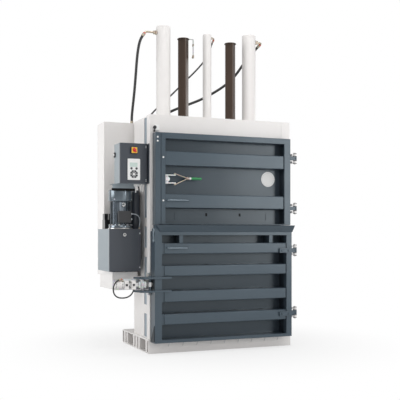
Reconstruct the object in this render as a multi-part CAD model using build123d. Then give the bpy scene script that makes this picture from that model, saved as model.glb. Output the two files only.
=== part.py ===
"""Vertical recycling baler: a press frame with three cylinders, two doors and a power pack.

The frame stands on the ground plane with its origin at the centre of the base underside. X runs to the
right seen from the front, Y runs towards the back and Z runs up. All sizes are in millimetres.
"""
from build123d import *
import math
import os

# Base and frame
BASE_WIDTH = 1395
BASE_DEPTH = 790
BASE_HEIGHT = 124
BASE_TOP_PLATE = 12
BASE_BOTTOM_PLATE = 10
FORK_POCKET_WIDTH = 168
FORK_POCKET_PITCH = 369
INNER_CELL_PITCH = 82
OUTER_CELL_PITCH = 650
NARROW_CELL_WIDTH = 34
REAR_CELL_WIDTH = 40
REAR_CELL_WALL = 6
BASE_SLOT_WIDTH = 40
BASE_SLOT_HEIGHT = 12
BASE_SLOT_DEPTH = 6
BASE_SLOT_LEVEL = 74
FRAME_HEIGHT = 2080
CLEAR_WIDTH = 1200
POST_WIDTH = 87
POST_DEPTH = 80
POST_WALL = 6
COLUMN_SET_IN = 17
COLUMN_DEPTH = 425
COLUMN_PLATE = 5
COLUMN_SLOT_SET_BACK = 50
COLUMN_SLOT_WIDTH = 75
COLUMN_SLOTS = ((6, 211), (292, 713), (795, 982), (1062, 1946))

# Chamber
CHAMBER_DEPTH = 700
CHAMBER_WALL = 6
FLOOR_THICKNESS = 26
FLOOR_EDGE_GAP = 5
STRAP_PITCH = 300
STRAP_COUNT = 4
STRAP_GROOVE_WIDTH = 36
STRAP_GROOVE_DEPTH = 14
REAR_RIB_PITCH = 400
REAR_RIB_WIDTH = 80
REAR_RIB_DEPTH = 74
REAR_RIB_WALL = 5

# Head
HEAD_HEIGHT = 163
HEAD_PLATE = 25
HEAD_FASCIA = 10
HEAD_FASCIA_SET_BACK = 2
HEAD_WEB = 12
HEAD_WEB_HEIGHT = 70
HEAD_WEB_PITCH = 190

# Press cylinders, rods and guide posts
RAM_SET_BACK = 353
CYLINDER_PITCH = 873
CYLINDER_RADIUS = 65
CYLINDER_BORE_RADIUS = 50
CYLINDER_HEIGHT = 870
ROD_RADIUS = 30
CENTRE_CYLINDER_RADIUS = 40.5
CENTRE_BORE_RADIUS = 30
CENTRE_CYLINDER_HEIGHT = 838
CENTRE_ROD_RADIUS = 18
CYLINDER_CAP = 25
CYLINDER_CAP_CHAMFER = 3
CYLINDER_FLANGE_WIDTH = 22
CYLINDER_FLANGE = 16
GLAND_LENGTH = 40
GLAND_DROP = 45
PISTON_LENGTH = 40
RUNNING_GAP = 0.3
PRESS_STROKE = 740
GUIDE_PITCH = 480
GUIDE_SIDE = 80
GUIDE_WALL = 6
GUIDE_CORNER = 12
GUIDE_HEIGHT = 779
GUIDE_CAP_RADIUS = 57
GUIDE_CAP = 8
BUSH_WALL = 9
BUSH_FLANGE = 10
BUSH_FLANGE_WIDTH = 12
BUSH_LENGTH = 50

# Platen
PLATEN_PLATE = 20
PLATEN_GAP = 12
PLATEN_RISE = 8
PLATEN_RIB_HEIGHT = 30
PLATEN_RIB = 12
PLATEN_LONG_RIB_PITCH = 150
PLATEN_CROSS_RIBS = (120, 340, 560)
PLATEN_BOSS_WIDTH = 15
PLATEN_BOSS_HEIGHT = 15
STRIP_OUT = 42
STRIP_WIDTH = 18
STRIP_THICKNESS = 4
STRIP_HEIGHT = 172
STRIP_SLOT_GAP = 9

# Ejector plate
EJECTOR_WIDTH = 840
EJECTOR_LENGTH = 580
EJECTOR_PLATE = 8
EJECTOR_SET_BACK = 57
EJECTOR_BARREL_RADIUS = 8
EJECTOR_PIN_RADIUS = 4
EJECTOR_PIN_LENGTH = 24
EJECTOR_LUG = 12
EJECTOR_REST_GAP = 0.5

# Doors, shared
DOOR_GAP = 1
DOOR_SKIN = 9
DOOR_SKIN_SET_BACK = 19
DOOR_PLUG_WALL = 6
DOOR_PLUG_GAP = 3
RIB_SET_BACK = 5
RIB_WALL = 4
RIB_END_GAP = 6
RIB_BEND = 7
HINGE_OUT = 30.5
HINGE_FORWARD = 50
HINGE_PIN_RADIUS = 8
HINGE_PIN_GAP = 0.1
HINGE_PIN_HEAD = 6
HINGE_EYE_RADIUS = 17
HINGE_LEAF_GAP = 0.6
KNUCKLE_RADIUS = 16
KNUCKLE_HEIGHT = 31
KNUCKLE_ARM = 18
LEAF_THICKNESS = 30

# Loading door
JAMB_SET_IN = 26.5
JAMB_WIDTH = 48
JAMB_WALL = 5
JAMB_GAP = 3.5
LOADING_DEPTH = 80
LOADING_RIGHT = 654.5
LOADING_SILL = 1122
LOADING_LEFT_STILE = 40.5
LOADING_TOP_RAIL = 51
LOADING_BOTTOM_RAIL = 8
LOADING_LOWER_RIB = (144, 264)
LOADING_UPPER_RIB = (282, 159)
LOADING_HINGES = (1277, 1741)
LOADING_LEAF_HEIGHT = 34

# Bale door
BALE_DEPTH = 120
BALE_LEFT_SET_IN = 7
BALE_RIGHT = 644.5
BALE_BOTTOM = 104
BALE_TOP = 1064
BALE_LEFT_STILE = 64
BALE_TOP_RAIL = 34
BALE_BOTTOM_RAIL = 27
BALE_RIBS = ((260, 351), (455, 549), (677, 768), (869, 961))
BALE_HINGES = (312.5, 889)
BALE_LEAF_HEIGHT = 40
BALE_LEAF_STRAP = 12
BALE_LEAF_STRAP_LENGTH = 130
GUSSET_WIDTH = 33
GUSSET_PITCH = 871
LIP_RISE = 54
LIP_REACH = 48
LIP_THICKNESS = 7
LIP_RIGHT_OVERHANG = 5
LIP_MITRE = 52
LIP_CORNER_DEPTH = 40

# Handles
HANDLE_BAR_RADIUS = 7
HANDLE_STAND_OFF = 42
HANDLE_BEND = 30
LOADING_HANDLE_X = (-553, -357)
LOADING_HANDLE_LEVEL = 1331
BALE_HANDLE_X = (-568, -381)
BALE_HANDLE_LEVEL = 919

# Loading door latch
LATCH_LEFT = -559.5
LATCH_PLATE_WIDTH = 50
LATCH_PLATE = 6
LATCH_LEVEL = 1518.5
LATCH_ARM_PITCH = 69
LATCH_ARM = 8
LATCH_ARM_LENGTH = 97
LATCH_ARM_DEPTH = 14
LATCH_FORWARD = 59
LATCH_BOSS_RADIUS = 20
LATCH_PIN_RADIUS = 4
LATCH_PIN_LENGTH = 15
LATCH_PIN_GAP = 0.2
LATCH_EYE_RADIUS = 9
LATCH_EYE_HEIGHT = 14
LATCH_ROD_LEVEL = 9.5
LATCH_ROD_RADIUS = 4.5
LATCH_FORK_LENGTH = 112
LATCH_COLLAR_RADIUS = 13
LATCH_COLLAR_LENGTH = 22
LATCH_GRIP_RADIUS = 11.5
LATCH_GRIP_LENGTH = 118
LATCH_GRIP_RISE = 9

# Bale door lock
LOCK_LEVEL = 608
LOCK_FORWARD = 50
STRAP_LEVEL_PITCH = 114
LOCK_STRAP = 16
LOCK_STRAP_LEFT = -812
LOCK_STRAP_RIGHT = -536
LOCK_STRAP_FACE = 25
LOCK_STRAP_BACK_GAP = 17
LOCK_STRAP_SKEW = 27
LOCK_PIN_X = -714
LOCK_PIN_FORWARD = 88
LOCK_PIN_RADIUS = 10
LOCK_PIN_HEAD_RADIUS = 15
LOCK_PIN_HEAD = 8
BOLT_HEIGHT = 32
BOLT_THICKNESS = 26
BOLT_LENGTH = 200
BOLT_GAP = 0.5
BOLT_TRAVEL = 45
BOLT_ROD_RADIUS = 9
POCKET_GAP = 5
POCKET_DEPTH = 52
GUIDE_BLOCK_WALL = 10
GUIDE_BLOCK_LENGTH = 62
GUIDE_BLOCK_RIGHT = -745
LOCK_PLATE = 15
LOCK_PLATE_LENGTH = 330
LOCK_PLATE_HEIGHT = 92
LOCK_FOOT = 12
LOCK_FOOT_DEPTH = 60
LOCK_FOOT_HEIGHT = 190
LOCK_TUBE_RADIUS = 15
LOCK_CYLINDER_RADIUS = 29
LOCK_CYLINDER_LENGTH = 74
LOCK_CYLINDER_RIGHT = -940
LOCK_CYLINDER_CAP = 10

# Service duct and support beam
DUCT_WIDTH = 331
DUCT_DEPTH = 240
DUCT_SET_BACK = 75
DUCT_SHEET = 3
DUCT_TOP_FLANGE = 15
BEAM_BOTTOM = 545
BEAM_HEIGHT = 115
BEAM_DEPTH = 427
BEAM_SET_BACK = 300
BEAM_WALL = 8

# Power pack
TANK_LEFT = -995.5
TANK_RIGHT = -708
TANK_SET_BACK = 186
TANK_DEPTH = 392
TANK_HEIGHT = 375
TANK_FOOT_RADIUS = 12
TANK_FOOT_HEIGHT = 50
TANK_FOOT_INSET = 70
TANK_PANEL = 4
TANK_PANEL_LIP = 40
GAUGE_RADIUS = 16
GAUGE_DEPTH = 7
GAUGE_FROM_LEFT = 138
GAUGE_DROP = 52
MOTOR_X = -866.5
MOTOR_SET_BACK = 280
MOTOR_FLANGE_RADIUS = 105
MOTOR_FLANGE = 30
MOTOR_CORE_RADIUS = 80
MOTOR_FIN_RADIUS = 93
MOTOR_FIN = 4
MOTOR_FINS = 30
MOTOR_BODY_HEIGHT = 215
FAN_COVER_RADIUS = 108
FAN_COVER_HEIGHT = 102
FAN_COVER_SHEET = 3
FAN_GRILLE_SLOT = 7
FAN_GRILLE_PITCH = 17
FAN_GRILLE_SLOTS = 9
FAN_SHAFT_RADIUS = 12
FAN_SHAFT_LENGTH = 60
FAN_BLADES = 7
FAN_BLADE_RADIUS = 92
FAN_BLADE_HEIGHT = 34
FAN_BLADE = 4
FAN_REST_GAP = 0.4
TERMINAL_WIDTH = 113
TERMINAL_HEIGHT = 103
TERMINAL_DEPTH = 50
TERMINAL_BASE = 54
TERMINAL_LID = 14
CABLE_GLAND_RADIUS = 9
CABLE_GLAND_LENGTH = 20
FILTER_X = -715.5
FILTER_SET_BACK = 322
FILTER_RADIUS = 42
FILTER_HEIGHT = 335
FILTER_CAP_RADIUS = 30
FILTER_CAP_HEIGHT = 14
VALVE_LEFT = -963
VALVE_WIDTH = 78
VALVE_SET_BACK = 455
VALVE_DEPTH = 90
VALVE_HEIGHT = 140
GUARD_LEFT = -975
GUARD_WIDTH = 215
GUARD_HEIGHT = 46
GUARD_DEPTH = 90
GUARD_SHEET = 3
GUARD_SET_BACK = 155

# Control cabinet
CABINET_WIDTH = 243
CABINET_HEIGHT = 347
CABINET_DEPTH = 180
CABINET_SET_BACK = 40
CABINET_BOTTOM = 1478
CABINET_SHEET = 3
CABINET_DOOR_DEPTH = 20
CABINET_DOOR_GAP = 0.5
CABINET_DOOR_SIDE_GAP = 3.5
BRACKET_THICKNESS = 10
BRACKET_FLANGE = 5
BRACKET_FORWARD = 38
CABINET_HINGE_INSET = 1.5
CABINET_HINGE_RADIUS = 4.5
CABINET_HINGE_HEIGHT = 30
CABINET_HINGE_MARGIN = 47
CABINET_HINGE_PIN = 2
CABINET_HINGE_LUG = 5
GEAR_PLATE = 3
GEAR_MARGIN = 20
GEAR_STAND_OFF = 12
GEAR_BLOCKS = ((0.16, 0.42), (0.52, 0.68), (0.76, 0.9))
GEAR_BLOCK_DEPTH = 70
GEAR_BLOCK_HEIGHT = 90
CABINET_GLAND_RADIUS = 11
CABINET_GLAND_LENGTH = 18
CABINET_GLANDS = (165, 195, 225)
SWITCH_X = -817.8
SWITCH_LEVEL = 1763
SWITCH_PLATE_SIDE = 50
SWITCH_PLATE = 4
SWITCH_BASE_SIDE = 56
SWITCH_BASE = 18
SWITCH_KNOB_RADIUS = 15
SWITCH_KNOB = 9
SWITCH_BAR_LENGTH = 42
SWITCH_BAR_WIDTH = 13
SWITCH_BAR = 12
SWITCH_BAR_ANGLE = 30
PANEL_X = -819.5
PANEL_WIDTH = 110
PANEL_BOTTOM = 1507
PANEL_HEIGHT = 183
PANEL_THICKNESS = 12
PANEL_CORNER = 5
SCREEN_WIDTH = 62
SCREEN_HEIGHT = 32
SCREEN_LEVEL = 1639
SCREEN_RECESS = 1
KEY_LEVEL = 1557
KEY_INNER_RADIUS = 14
KEY_OUTER_RADIUS = 34
KEY_RAISE = 1.5
KEY_ANGLES = (21, 69)
KEY_HALF_ANGLE = 17
BUTTON_PITCH = 46
BUTTON_LEVEL = 1606
BUTTON_RADIUS = 9
BUTTON_GAP = 0.4
BUTTON_PROUD = 3
BUTTON_SEAT = 4
BUTTON_TRAVEL = 2
SIDE_LOCK_LEVEL = 1733
SIDE_LOCK_FORWARD = 20
SIDE_LOCK_RADIUS = 12
SIDE_LOCK_COLLAR = 5
SIDE_LOCK_CORE_RADIUS = 8
SIDE_LOCK_CORE = 9
SIDE_LOCK_GAP = 0.4

# Limit switch
LIMIT_SWITCH_WIDTH = 36
LIMIT_SWITCH_DEPTH = 30
LIMIT_SWITCH_HEIGHT = 50
LIMIT_SWITCH_INSET = 44
LIMIT_SWITCH_ABOVE_JAMB = 20
LIMIT_LEVER_THICKNESS = 6
LIMIT_LEVER_WIDTH = 12
LIMIT_LEVER_LENGTH = 38
LIMIT_ROLLER_RADIUS = 8
LIMIT_AXLE_RADIUS = 4
LIMIT_AXLE_LENGTH = 10
LIMIT_GAP = 0.4

# Hoses and fittings
HOSE_RADIUS = 12.5
CENTRE_HOSE_RADIUS = 7.5
LOCK_HOSE_RADIUS = 6
MOTOR_CABLE_RADIUS = 4.5
SLEEVE_WALL = 3
NUT_WALL = 4
NUT_LENGTH = 20
PORT_GAP = 1
ELBOW_DROP = 24
DUCT_STUB = 30
GROMMET_RADIUS = 8

# Places that follow from the sizes above
front = -BASE_DEPTH / 2
back = BASE_DEPTH / 2
base_x = (-BASE_WIDTH / 2, BASE_WIDTH / 2)
post_inner = CLEAR_WIDTH / 2
post_outer = post_inner + POST_WIDTH
post_back = front + POST_DEPTH
column_face = post_outer - COLUMN_SET_IN
column_back = post_back + COLUMN_DEPTH
wall_outer = post_inner + CHAMBER_WALL
chamber_back = front + CHAMBER_DEPTH
head_bottom = FRAME_HEIGHT - HEAD_HEIGHT
plate_bottom = FRAME_HEIGHT - HEAD_PLATE
ram_y = front + RAM_SET_BACK
barrel_bottom = FRAME_HEIGHT - GLAND_DROP
piston_top = FRAME_HEIGHT + CENTRE_CYLINDER_HEIGHT - CYLINDER_CAP - 5
platen_bottom = head_bottom + PLATEN_RISE
platen_top = platen_bottom + PLATEN_PLATE
floor_top = BASE_HEIGHT + FLOOR_THICKNESS
door_back = front - DOOR_GAP
skin_front = front + DOOR_SKIN_SET_BACK
plug_back = skin_front + DOOR_SKIN
plug_right = post_inner - DOOR_PLUG_GAP
hinge_x = post_outer + HINGE_OUT
hinge_y = front - HINGE_FORWARD
jamb_left = -post_outer + JAMB_SET_IN
jamb_right = jamb_left + JAMB_WIDTH
loading_left = jamb_right + JAMB_GAP
loading_front = front - LOADING_DEPTH
bale_left = -post_outer + BALE_LEFT_SET_IN
bale_front = front - BALE_DEPTH
duct_right = -wall_outer
duct_left = duct_right - DUCT_WIDTH
duct_front = column_back + DUCT_SET_BACK
duct_back = duct_front + DUCT_DEPTH
beam_top = BEAM_BOTTOM + BEAM_HEIGHT
beam_front = front + BEAM_SET_BACK
tank_front = front + TANK_SET_BACK
tank_bottom = beam_top + TANK_FOOT_HEIGHT
tank_top = tank_bottom + TANK_HEIGHT
motor_y = front + MOTOR_SET_BACK
motor_top = tank_top + MOTOR_FLANGE + MOTOR_BODY_HEIGHT
fan_cover_top = motor_top + FAN_COVER_HEIGHT
cabinet_right = -post_outer - BRACKET_THICKNESS
cabinet_left = cabinet_right - CABINET_WIDTH
cabinet_front = front + CABINET_SET_BACK
cabinet_back = cabinet_front + CABINET_DEPTH
cabinet_top = CABINET_BOTTOM + CABINET_HEIGHT
shell_front = cabinet_front + CABINET_DOOR_DEPTH + CABINET_DOOR_GAP
cabinet_hinge_x = cabinet_right - CABINET_HINGE_INSET
panel_face = cabinet_front - PANEL_THICKNESS
lock_y = front - LOCK_FORWARD
latch_y = skin_front - LATCH_FORWARD
strap_positions = [STRAP_PITCH * (index - (STRAP_COUNT - 1) / 2) for index in range(STRAP_COUNT)]


def block(x, y, z):
    """A box between three pairs of limits."""
    spans = (x, y, z)
    size = [high - low for low, high in spans]
    centre = [(low + high) / 2 for low, high in spans]
    return Pos(*centre) * Box(*size)


def upright(radius, x, y, z):
    """A vertical cylinder between two levels."""
    return Pos(x, y, (z[0] + z[1]) / 2) * Cylinder(radius, z[1] - z[0])


def along_x(radius, x, y, z):
    """A cylinder that lies along X between two limits."""
    return Pos((x[0] + x[1]) / 2, y, z) * Rot(0, 90, 0) * Cylinder(radius, x[1] - x[0])


def along_y(radius, x, y, z):
    """A cylinder that lies along Y between two limits."""
    return Pos(x, (y[0] + y[1]) / 2, z) * Rot(90, 0, 0) * Cylinder(radius, y[1] - y[0])


def along(radius, start, end):
    """A cylinder between two points."""
    path = Line(start, end)
    return sweep(Plane(origin=start, z_dir=path % 0) * Circle(radius), path=path)


def about(centre, half):
    """The pair of limits at a half width on both sides of a centre."""
    return (centre - half, centre + half)


def mirrored(side, inner, outer):
    """The X limits of a wall on the right (side 1) or the left (side -1)."""
    return tuple(sorted((side * inner, side * outer)))


def diamond(side, x, y, z):
    """A square bar stood on a corner, between two levels."""
    return Pos(x, y, (z[0] + z[1]) / 2) * Rot(0, 0, 45) * Box(side, side, z[1] - z[0])


def save(name, *shapes):
    """Write one node, as one solid or as a group of separate solids."""
    solids = [solid for shape in shapes for solid in shape.solids()]
    whole = solids[0] if len(solids) == 1 else Compound(solids)
    export_step(whole, f"parts/{name}.step")


def tube(points, radius, name):
    """A round tube along straight runs joined by the largest arcs that the runs allow."""
    route = [Vector(*point) for point in points]
    runs = [after - before for before, after in zip(route, route[1:])]
    radii = []
    for before, after in zip(runs, runs[1:]):
        half_turn = math.radians(before.get_angle(after)) / 2
        radii.append(0.45 * min(before.length, after.length) / math.tan(half_turn))
    path = FilletPolyline(*points, radius=radii)
    section = Plane(origin=points[0], z_dir=runs[0]) * Circle(radius)
    body = sweep(section, path=path)
    expected = math.pi * radius ** 2 * path.length
    lengths = ", ".join(f"{run.length:.0f}" for run in runs)
    print(f"{name}: length {path.length:.0f}, volume ratio {body.volume / expected:.4f}")
    print(f"  runs {lengths}; arc radii {', '.join(f'{value:.0f}' for value in radii)}")
    return body


def base_frame():
    """The base plate box, with fork pockets and section openings that run from side to side."""
    body = block(base_x, (front, back), (0, BASE_HEIGHT))
    opening_z = (BASE_BOTTOM_PLATE, BASE_HEIGHT - BASE_TOP_PLATE)
    through_x = (base_x[0] - 1, base_x[1] + 1)
    cells = (
        (FORK_POCKET_PITCH, FORK_POCKET_WIDTH),
        (INNER_CELL_PITCH, NARROW_CELL_WIDTH),
        (OUTER_CELL_PITCH, NARROW_CELL_WIDTH),
    )
    for pitch, width in cells:
        for side in (-1, 1):
            body -= block(through_x, about(ram_y + side * pitch / 2, width / 2), opening_z)
    rear_cell = (back - REAR_CELL_WALL - REAR_CELL_WIDTH, back - REAR_CELL_WALL)
    body -= block(through_x, rear_cell, opening_z)
    slot_z = about(BASE_SLOT_LEVEL, BASE_SLOT_HEIGHT / 2)
    for x in strap_positions:
        body -= block(about(x, BASE_SLOT_WIDTH / 2), (front - 1, front + BASE_SLOT_DEPTH), slot_z)
    return body


def chamber_floor():
    """The grooved pressing floor, with the lugs and pins of the ejector hinge."""
    floor_front = plug_back + FLOOR_EDGE_GAP
    body = block((-post_inner, post_inner), (floor_front, chamber_back), (BASE_HEIGHT, floor_top))
    for x in strap_positions:
        groove_z = (floor_top - STRAP_GROOVE_DEPTH, floor_top + 1)
        body -= block(about(x, STRAP_GROOVE_WIDTH / 2), (floor_front - 1, chamber_back + 1), groove_z)
    barrel_z = floor_top + EJECTOR_REST_GAP + EJECTOR_BARREL_RADIUS
    barrel_y = floor_front + EJECTOR_SET_BACK / 2
    for side in (-1, 1):
        lug_x = mirrored(side, EJECTOR_WIDTH / 2 + 1, EJECTOR_WIDTH / 2 + 1 + EJECTOR_LUG)
        pin_x = mirrored(side, EJECTOR_WIDTH / 2 - EJECTOR_PIN_LENGTH, EJECTOR_WIDTH / 2 + 2)
        lug_top = barrel_z + EJECTOR_BARREL_RADIUS
        body += block(lug_x, about(barrel_y, EJECTOR_BARREL_RADIUS), (floor_top, lug_top))
        body += along_x(EJECTOR_PIN_RADIUS, pin_x, barrel_y, barrel_z)
    return body


def ejector_plate():
    """The tilting plate that tips the finished bale out, with its hinge barrel."""
    floor_front = plug_back + FLOOR_EDGE_GAP
    barrel_y = floor_front + EJECTOR_SET_BACK / 2
    plate_bottom_level = floor_top + EJECTOR_REST_GAP
    barrel_z = plate_bottom_level + EJECTOR_BARREL_RADIUS
    half = EJECTOR_WIDTH / 2
    plate_z = (plate_bottom_level, plate_bottom_level + EJECTOR_PLATE)
    body = block((-half, half), (barrel_y, barrel_y + EJECTOR_LENGTH), plate_z)
    body += along_x(EJECTOR_BARREL_RADIUS, (-half, half), barrel_y, barrel_z)
    for side in (-1, 1):
        bore_x = mirrored(side, half - EJECTOR_PIN_LENGTH - 1, half + 1)
        body -= along_x(EJECTOR_PIN_RADIUS + HINGE_PIN_GAP, bore_x, barrel_y, barrel_z)
    return body


def front_post(side):
    """One closed box-section post beside the doors."""
    x = mirrored(side, post_inner, post_outer)
    inner_x = (x[0] + POST_WALL, x[1] - POST_WALL)
    inner_y = (front + POST_WALL, post_back - POST_WALL)
    body = block(x, (front, post_back), (BASE_HEIGHT, FRAME_HEIGHT))
    return body - block(inner_x, inner_y, (BASE_HEIGHT - 1, FRAME_HEIGHT - POST_WALL))


def side_column(side):
    """One folded side plate with its long slots, rear flange and top flange."""
    face = mirrored(side, column_face - COLUMN_PLATE, column_face)
    depth = (post_back, column_back)
    height = (BASE_HEIGHT, FRAME_HEIGHT)
    body = block(face, depth, height)
    flange_x = mirrored(side, wall_outer, column_face)
    body += block(flange_x, (column_back - COLUMN_PLATE, column_back), height)
    body += block(flange_x, depth, (FRAME_HEIGHT - COLUMN_PLATE, FRAME_HEIGHT))
    slot_front = post_back + COLUMN_SLOT_SET_BACK
    cut_x = mirrored(side, column_face - COLUMN_PLATE - 1, column_face + 1)
    for low, high in COLUMN_SLOTS:
        slot_z = (BASE_HEIGHT + low, min(BASE_HEIGHT + high, FRAME_HEIGHT - COLUMN_PLATE))
        body -= block(cut_x, (slot_front, slot_front + COLUMN_SLOT_WIDTH), slot_z)
    return body


def chamber_side_wall(side):
    """One side wall of the baling chamber."""
    x = mirrored(side, post_inner, wall_outer)
    return block(x, (post_back, chamber_back), (BASE_HEIGHT, FRAME_HEIGHT))


def chamber_rear_wall():
    """The rear wall of the baling chamber."""
    y = (chamber_back, chamber_back + CHAMBER_WALL)
    return block((-wall_outer, wall_outer), y, (BASE_HEIGHT, FRAME_HEIGHT))


def rear_rib(x):
    """One box-section rib behind the chamber."""
    y = (chamber_back + CHAMBER_WALL, chamber_back + CHAMBER_WALL + REAR_RIB_DEPTH)
    inner_y = (y[0] + REAR_RIB_WALL, y[1] - REAR_RIB_WALL)
    body = block(about(x, REAR_RIB_WIDTH / 2), y, (BASE_HEIGHT, FRAME_HEIGHT))
    inner_x = about(x, REAR_RIB_WIDTH / 2 - REAR_RIB_WALL)
    return body - block(inner_x, inner_y, (BASE_HEIGHT - 1, FRAME_HEIGHT - REAR_RIB_WALL))


def head_frame():
    """The press head: top plate, front fascia and two webs, open below for the platen."""
    fascia_front = front + HEAD_FASCIA_SET_BACK
    across = (-post_inner, post_inner)
    body = block(across, (fascia_front, chamber_back), (plate_bottom, FRAME_HEIGHT))
    body += block(across, (fascia_front, fascia_front + HEAD_FASCIA), (head_bottom, FRAME_HEIGHT))
    web_z = (plate_bottom - HEAD_WEB_HEIGHT, plate_bottom)
    for side in (-1, 1):
        web_y = about(ram_y + side * HEAD_WEB_PITCH / 2, HEAD_WEB / 2)
        body += block(across, web_y, web_z)
    hole_z = (plate_bottom - 1, FRAME_HEIGHT + 1)
    for x, radius in ram_cylinders():
        body -= upright(radius + RUNNING_GAP, x, ram_y, hole_z)
    for x in guide_places():
        body -= diamond(GUIDE_SIDE + 2 * (BUSH_WALL + RUNNING_GAP), x, ram_y, hole_z)
    strip_x = strip_place()
    slot_x = about(strip_x, STRIP_THICKNESS / 2 + STRIP_SLOT_GAP)
    slot_y = about(ram_y, STRIP_WIDTH / 2 + STRIP_SLOT_GAP)
    return body - block(slot_x, slot_y, hole_z)


def ram_cylinders():
    """The X place and outer radius of each cylinder."""
    half = CYLINDER_PITCH / 2
    return ((-half, CYLINDER_RADIUS), (0, CENTRE_CYLINDER_RADIUS), (half, CYLINDER_RADIUS))


def guide_places():
    """The X places of the two guide posts."""
    return (-GUIDE_PITCH / 2, GUIDE_PITCH / 2)


def strip_place():
    """The X place of the switch strip beside the left guide post's cap."""
    return -GUIDE_PITCH / 2 + GUIDE_CAP_RADIUS + STRIP_OUT


def cylinder(x, radius, bore, rod, height):
    """One closed barrel with its gland, standing through the head on its flange."""
    top = FRAME_HEIGHT + height
    body = upright(radius, x, ram_y, (barrel_bottom, top))
    body = chamfer(body.edges().group_by(Axis.Z)[-1], CYLINDER_CAP_CHAMFER)
    flange_z = (FRAME_HEIGHT, FRAME_HEIGHT + CYLINDER_FLANGE)
    body += upright(radius + CYLINDER_FLANGE_WIDTH, x, ram_y, flange_z)
    body -= upright(bore, x, ram_y, (barrel_bottom + GLAND_LENGTH, top - CYLINDER_CAP))
    gland_hole = (barrel_bottom - 1, barrel_bottom + GLAND_LENGTH + 1)
    return body - upright(rod + RUNNING_GAP, x, ram_y, gland_hole)


def piston_rod(x, bore, rod):
    """One piston with its rod, down to the platen's boss."""
    boss_top = platen_top + PLATEN_BOSS_HEIGHT
    body = upright(rod, x, ram_y, (boss_top, piston_top))
    return body + upright(bore - RUNNING_GAP, x, ram_y, (piston_top - PISTON_LENGTH, piston_top))


def guide_post(x):
    """One square guide post on a corner, with the round plate that caps it."""
    cap_bottom = FRAME_HEIGHT + GUIDE_HEIGHT - GUIDE_CAP
    height = (platen_top, cap_bottom)
    body = diamond(GUIDE_SIDE, x, ram_y, height)
    body = fillet(body.edges().filter_by(Axis.Z), GUIDE_CORNER)
    body -= diamond(GUIDE_SIDE - 2 * GUIDE_WALL, x, ram_y, (platen_top - 1, cap_bottom - GUIDE_WALL))
    cap = upright(GUIDE_CAP_RADIUS, x, ram_y, (cap_bottom, cap_bottom + GUIDE_CAP))
    cap = chamfer(cap.edges().group_by(Axis.Z)[-1], GUIDE_CAP / 2)
    return body + cap


def guide_bush(x):
    """One bush that guides a post through the head plate."""
    outer = GUIDE_SIDE + 2 * BUSH_WALL
    flange_top = FRAME_HEIGHT + BUSH_FLANGE
    body = diamond(outer, x, ram_y, (flange_top - BUSH_LENGTH, flange_top))
    body += diamond(outer + 2 * BUSH_FLANGE_WIDTH, x, ram_y, (FRAME_HEIGHT, flange_top))
    hole = diamond(GUIDE_SIDE + 2 * RUNNING_GAP, x, ram_y, (flange_top - BUSH_LENGTH - 1, flange_top + 1))
    hole = fillet(hole.edges().filter_by(Axis.Z), GUIDE_CORNER)
    return body - hole


def press_platen():
    """The pressing plate with its ribs, rod bosses and strap grooves."""
    x = (-post_inner + PLATEN_GAP, post_inner - PLATEN_GAP)
    y = (plug_back + PLATEN_GAP, chamber_back - PLATEN_GAP)
    body = block(x, y, (platen_bottom, platen_top))
    rib_z = (platen_top, platen_top + PLATEN_RIB_HEIGHT)
    for side in (-1, 1):
        long_rib_y = about(ram_y + side * PLATEN_LONG_RIB_PITCH / 2, PLATEN_RIB / 2)
        body += block(x, long_rib_y, rib_z)
        for offset in PLATEN_CROSS_RIBS:
            body += block(about(side * offset, PLATEN_RIB / 2), y, rib_z)
    boss_z = (platen_top, platen_top + PLATEN_BOSS_HEIGHT)
    rods = (ROD_RADIUS, CENTRE_ROD_RADIUS, ROD_RADIUS)
    for (place, _), rod in zip(ram_cylinders(), rods):
        body += upright(rod + PLATEN_BOSS_WIDTH, place, ram_y, boss_z)
    for place in strap_positions:
        groove_z = (platen_bottom - 1, platen_bottom + STRAP_GROOVE_DEPTH - 4)
        body -= block(about(place, STRAP_GROOVE_WIDTH / 2), (y[0] - 1, y[1] + 1), groove_z)
    return body


def switch_strip():
    """The bent strip on the left guide post's cap that runs down through the head."""
    cap_top = FRAME_HEIGHT + GUIDE_HEIGHT
    strip_x = strip_place()
    outer = strip_x + STRIP_THICKNESS / 2
    foot_left = strip_x - 2 * STRIP_OUT
    y = about(ram_y, STRIP_WIDTH / 2)
    body = block((foot_left, outer), y, (cap_top, cap_top + STRIP_THICKNESS))
    strip_x_limits = about(strip_x, STRIP_THICKNESS / 2)
    return body + block(strip_x_limits, y, (cap_top - STRIP_HEIGHT, cap_top + STRIP_THICKNESS))


def door_jamb():
    """The fixed channel beside the loading door's latch stile."""
    z = (LOADING_SILL, head_bottom)
    body = block((jamb_left, jamb_right), (loading_front, front), z)
    inner_x = (jamb_left + JAMB_WALL, jamb_right - JAMB_WALL)
    inner_z = (z[0] + JAMB_WALL, z[1] - JAMB_WALL)
    return body - block(inner_x, (loading_front + JAMB_WALL, front + 1), inner_z)


def hinge_knuckles(level, leaf_height):
    """The two fixed knuckles of one door hinge, each with the arm that welds it to the post."""
    pieces = []
    inner = leaf_height / 2 + HINGE_LEAF_GAP
    outer = inner + KNUCKLE_HEIGHT
    middle = inner + KNUCKLE_HEIGHT / 2
    for side in (-1, 1):
        z = tuple(sorted((level + side * inner, level + side * outer)))
        body = upright(KNUCKLE_RADIUS, hinge_x, hinge_y, z)
        arm_z = about(level + side * middle, KNUCKLE_ARM / 2)
        body += block((post_outer, hinge_x), (hinge_y, post_back - POST_WALL), arm_z)
        body -= upright(HINGE_PIN_RADIUS + HINGE_PIN_GAP, hinge_x, hinge_y, (z[0] - 1, z[1] + 1))
        pieces.append(body)
    return pieces


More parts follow.
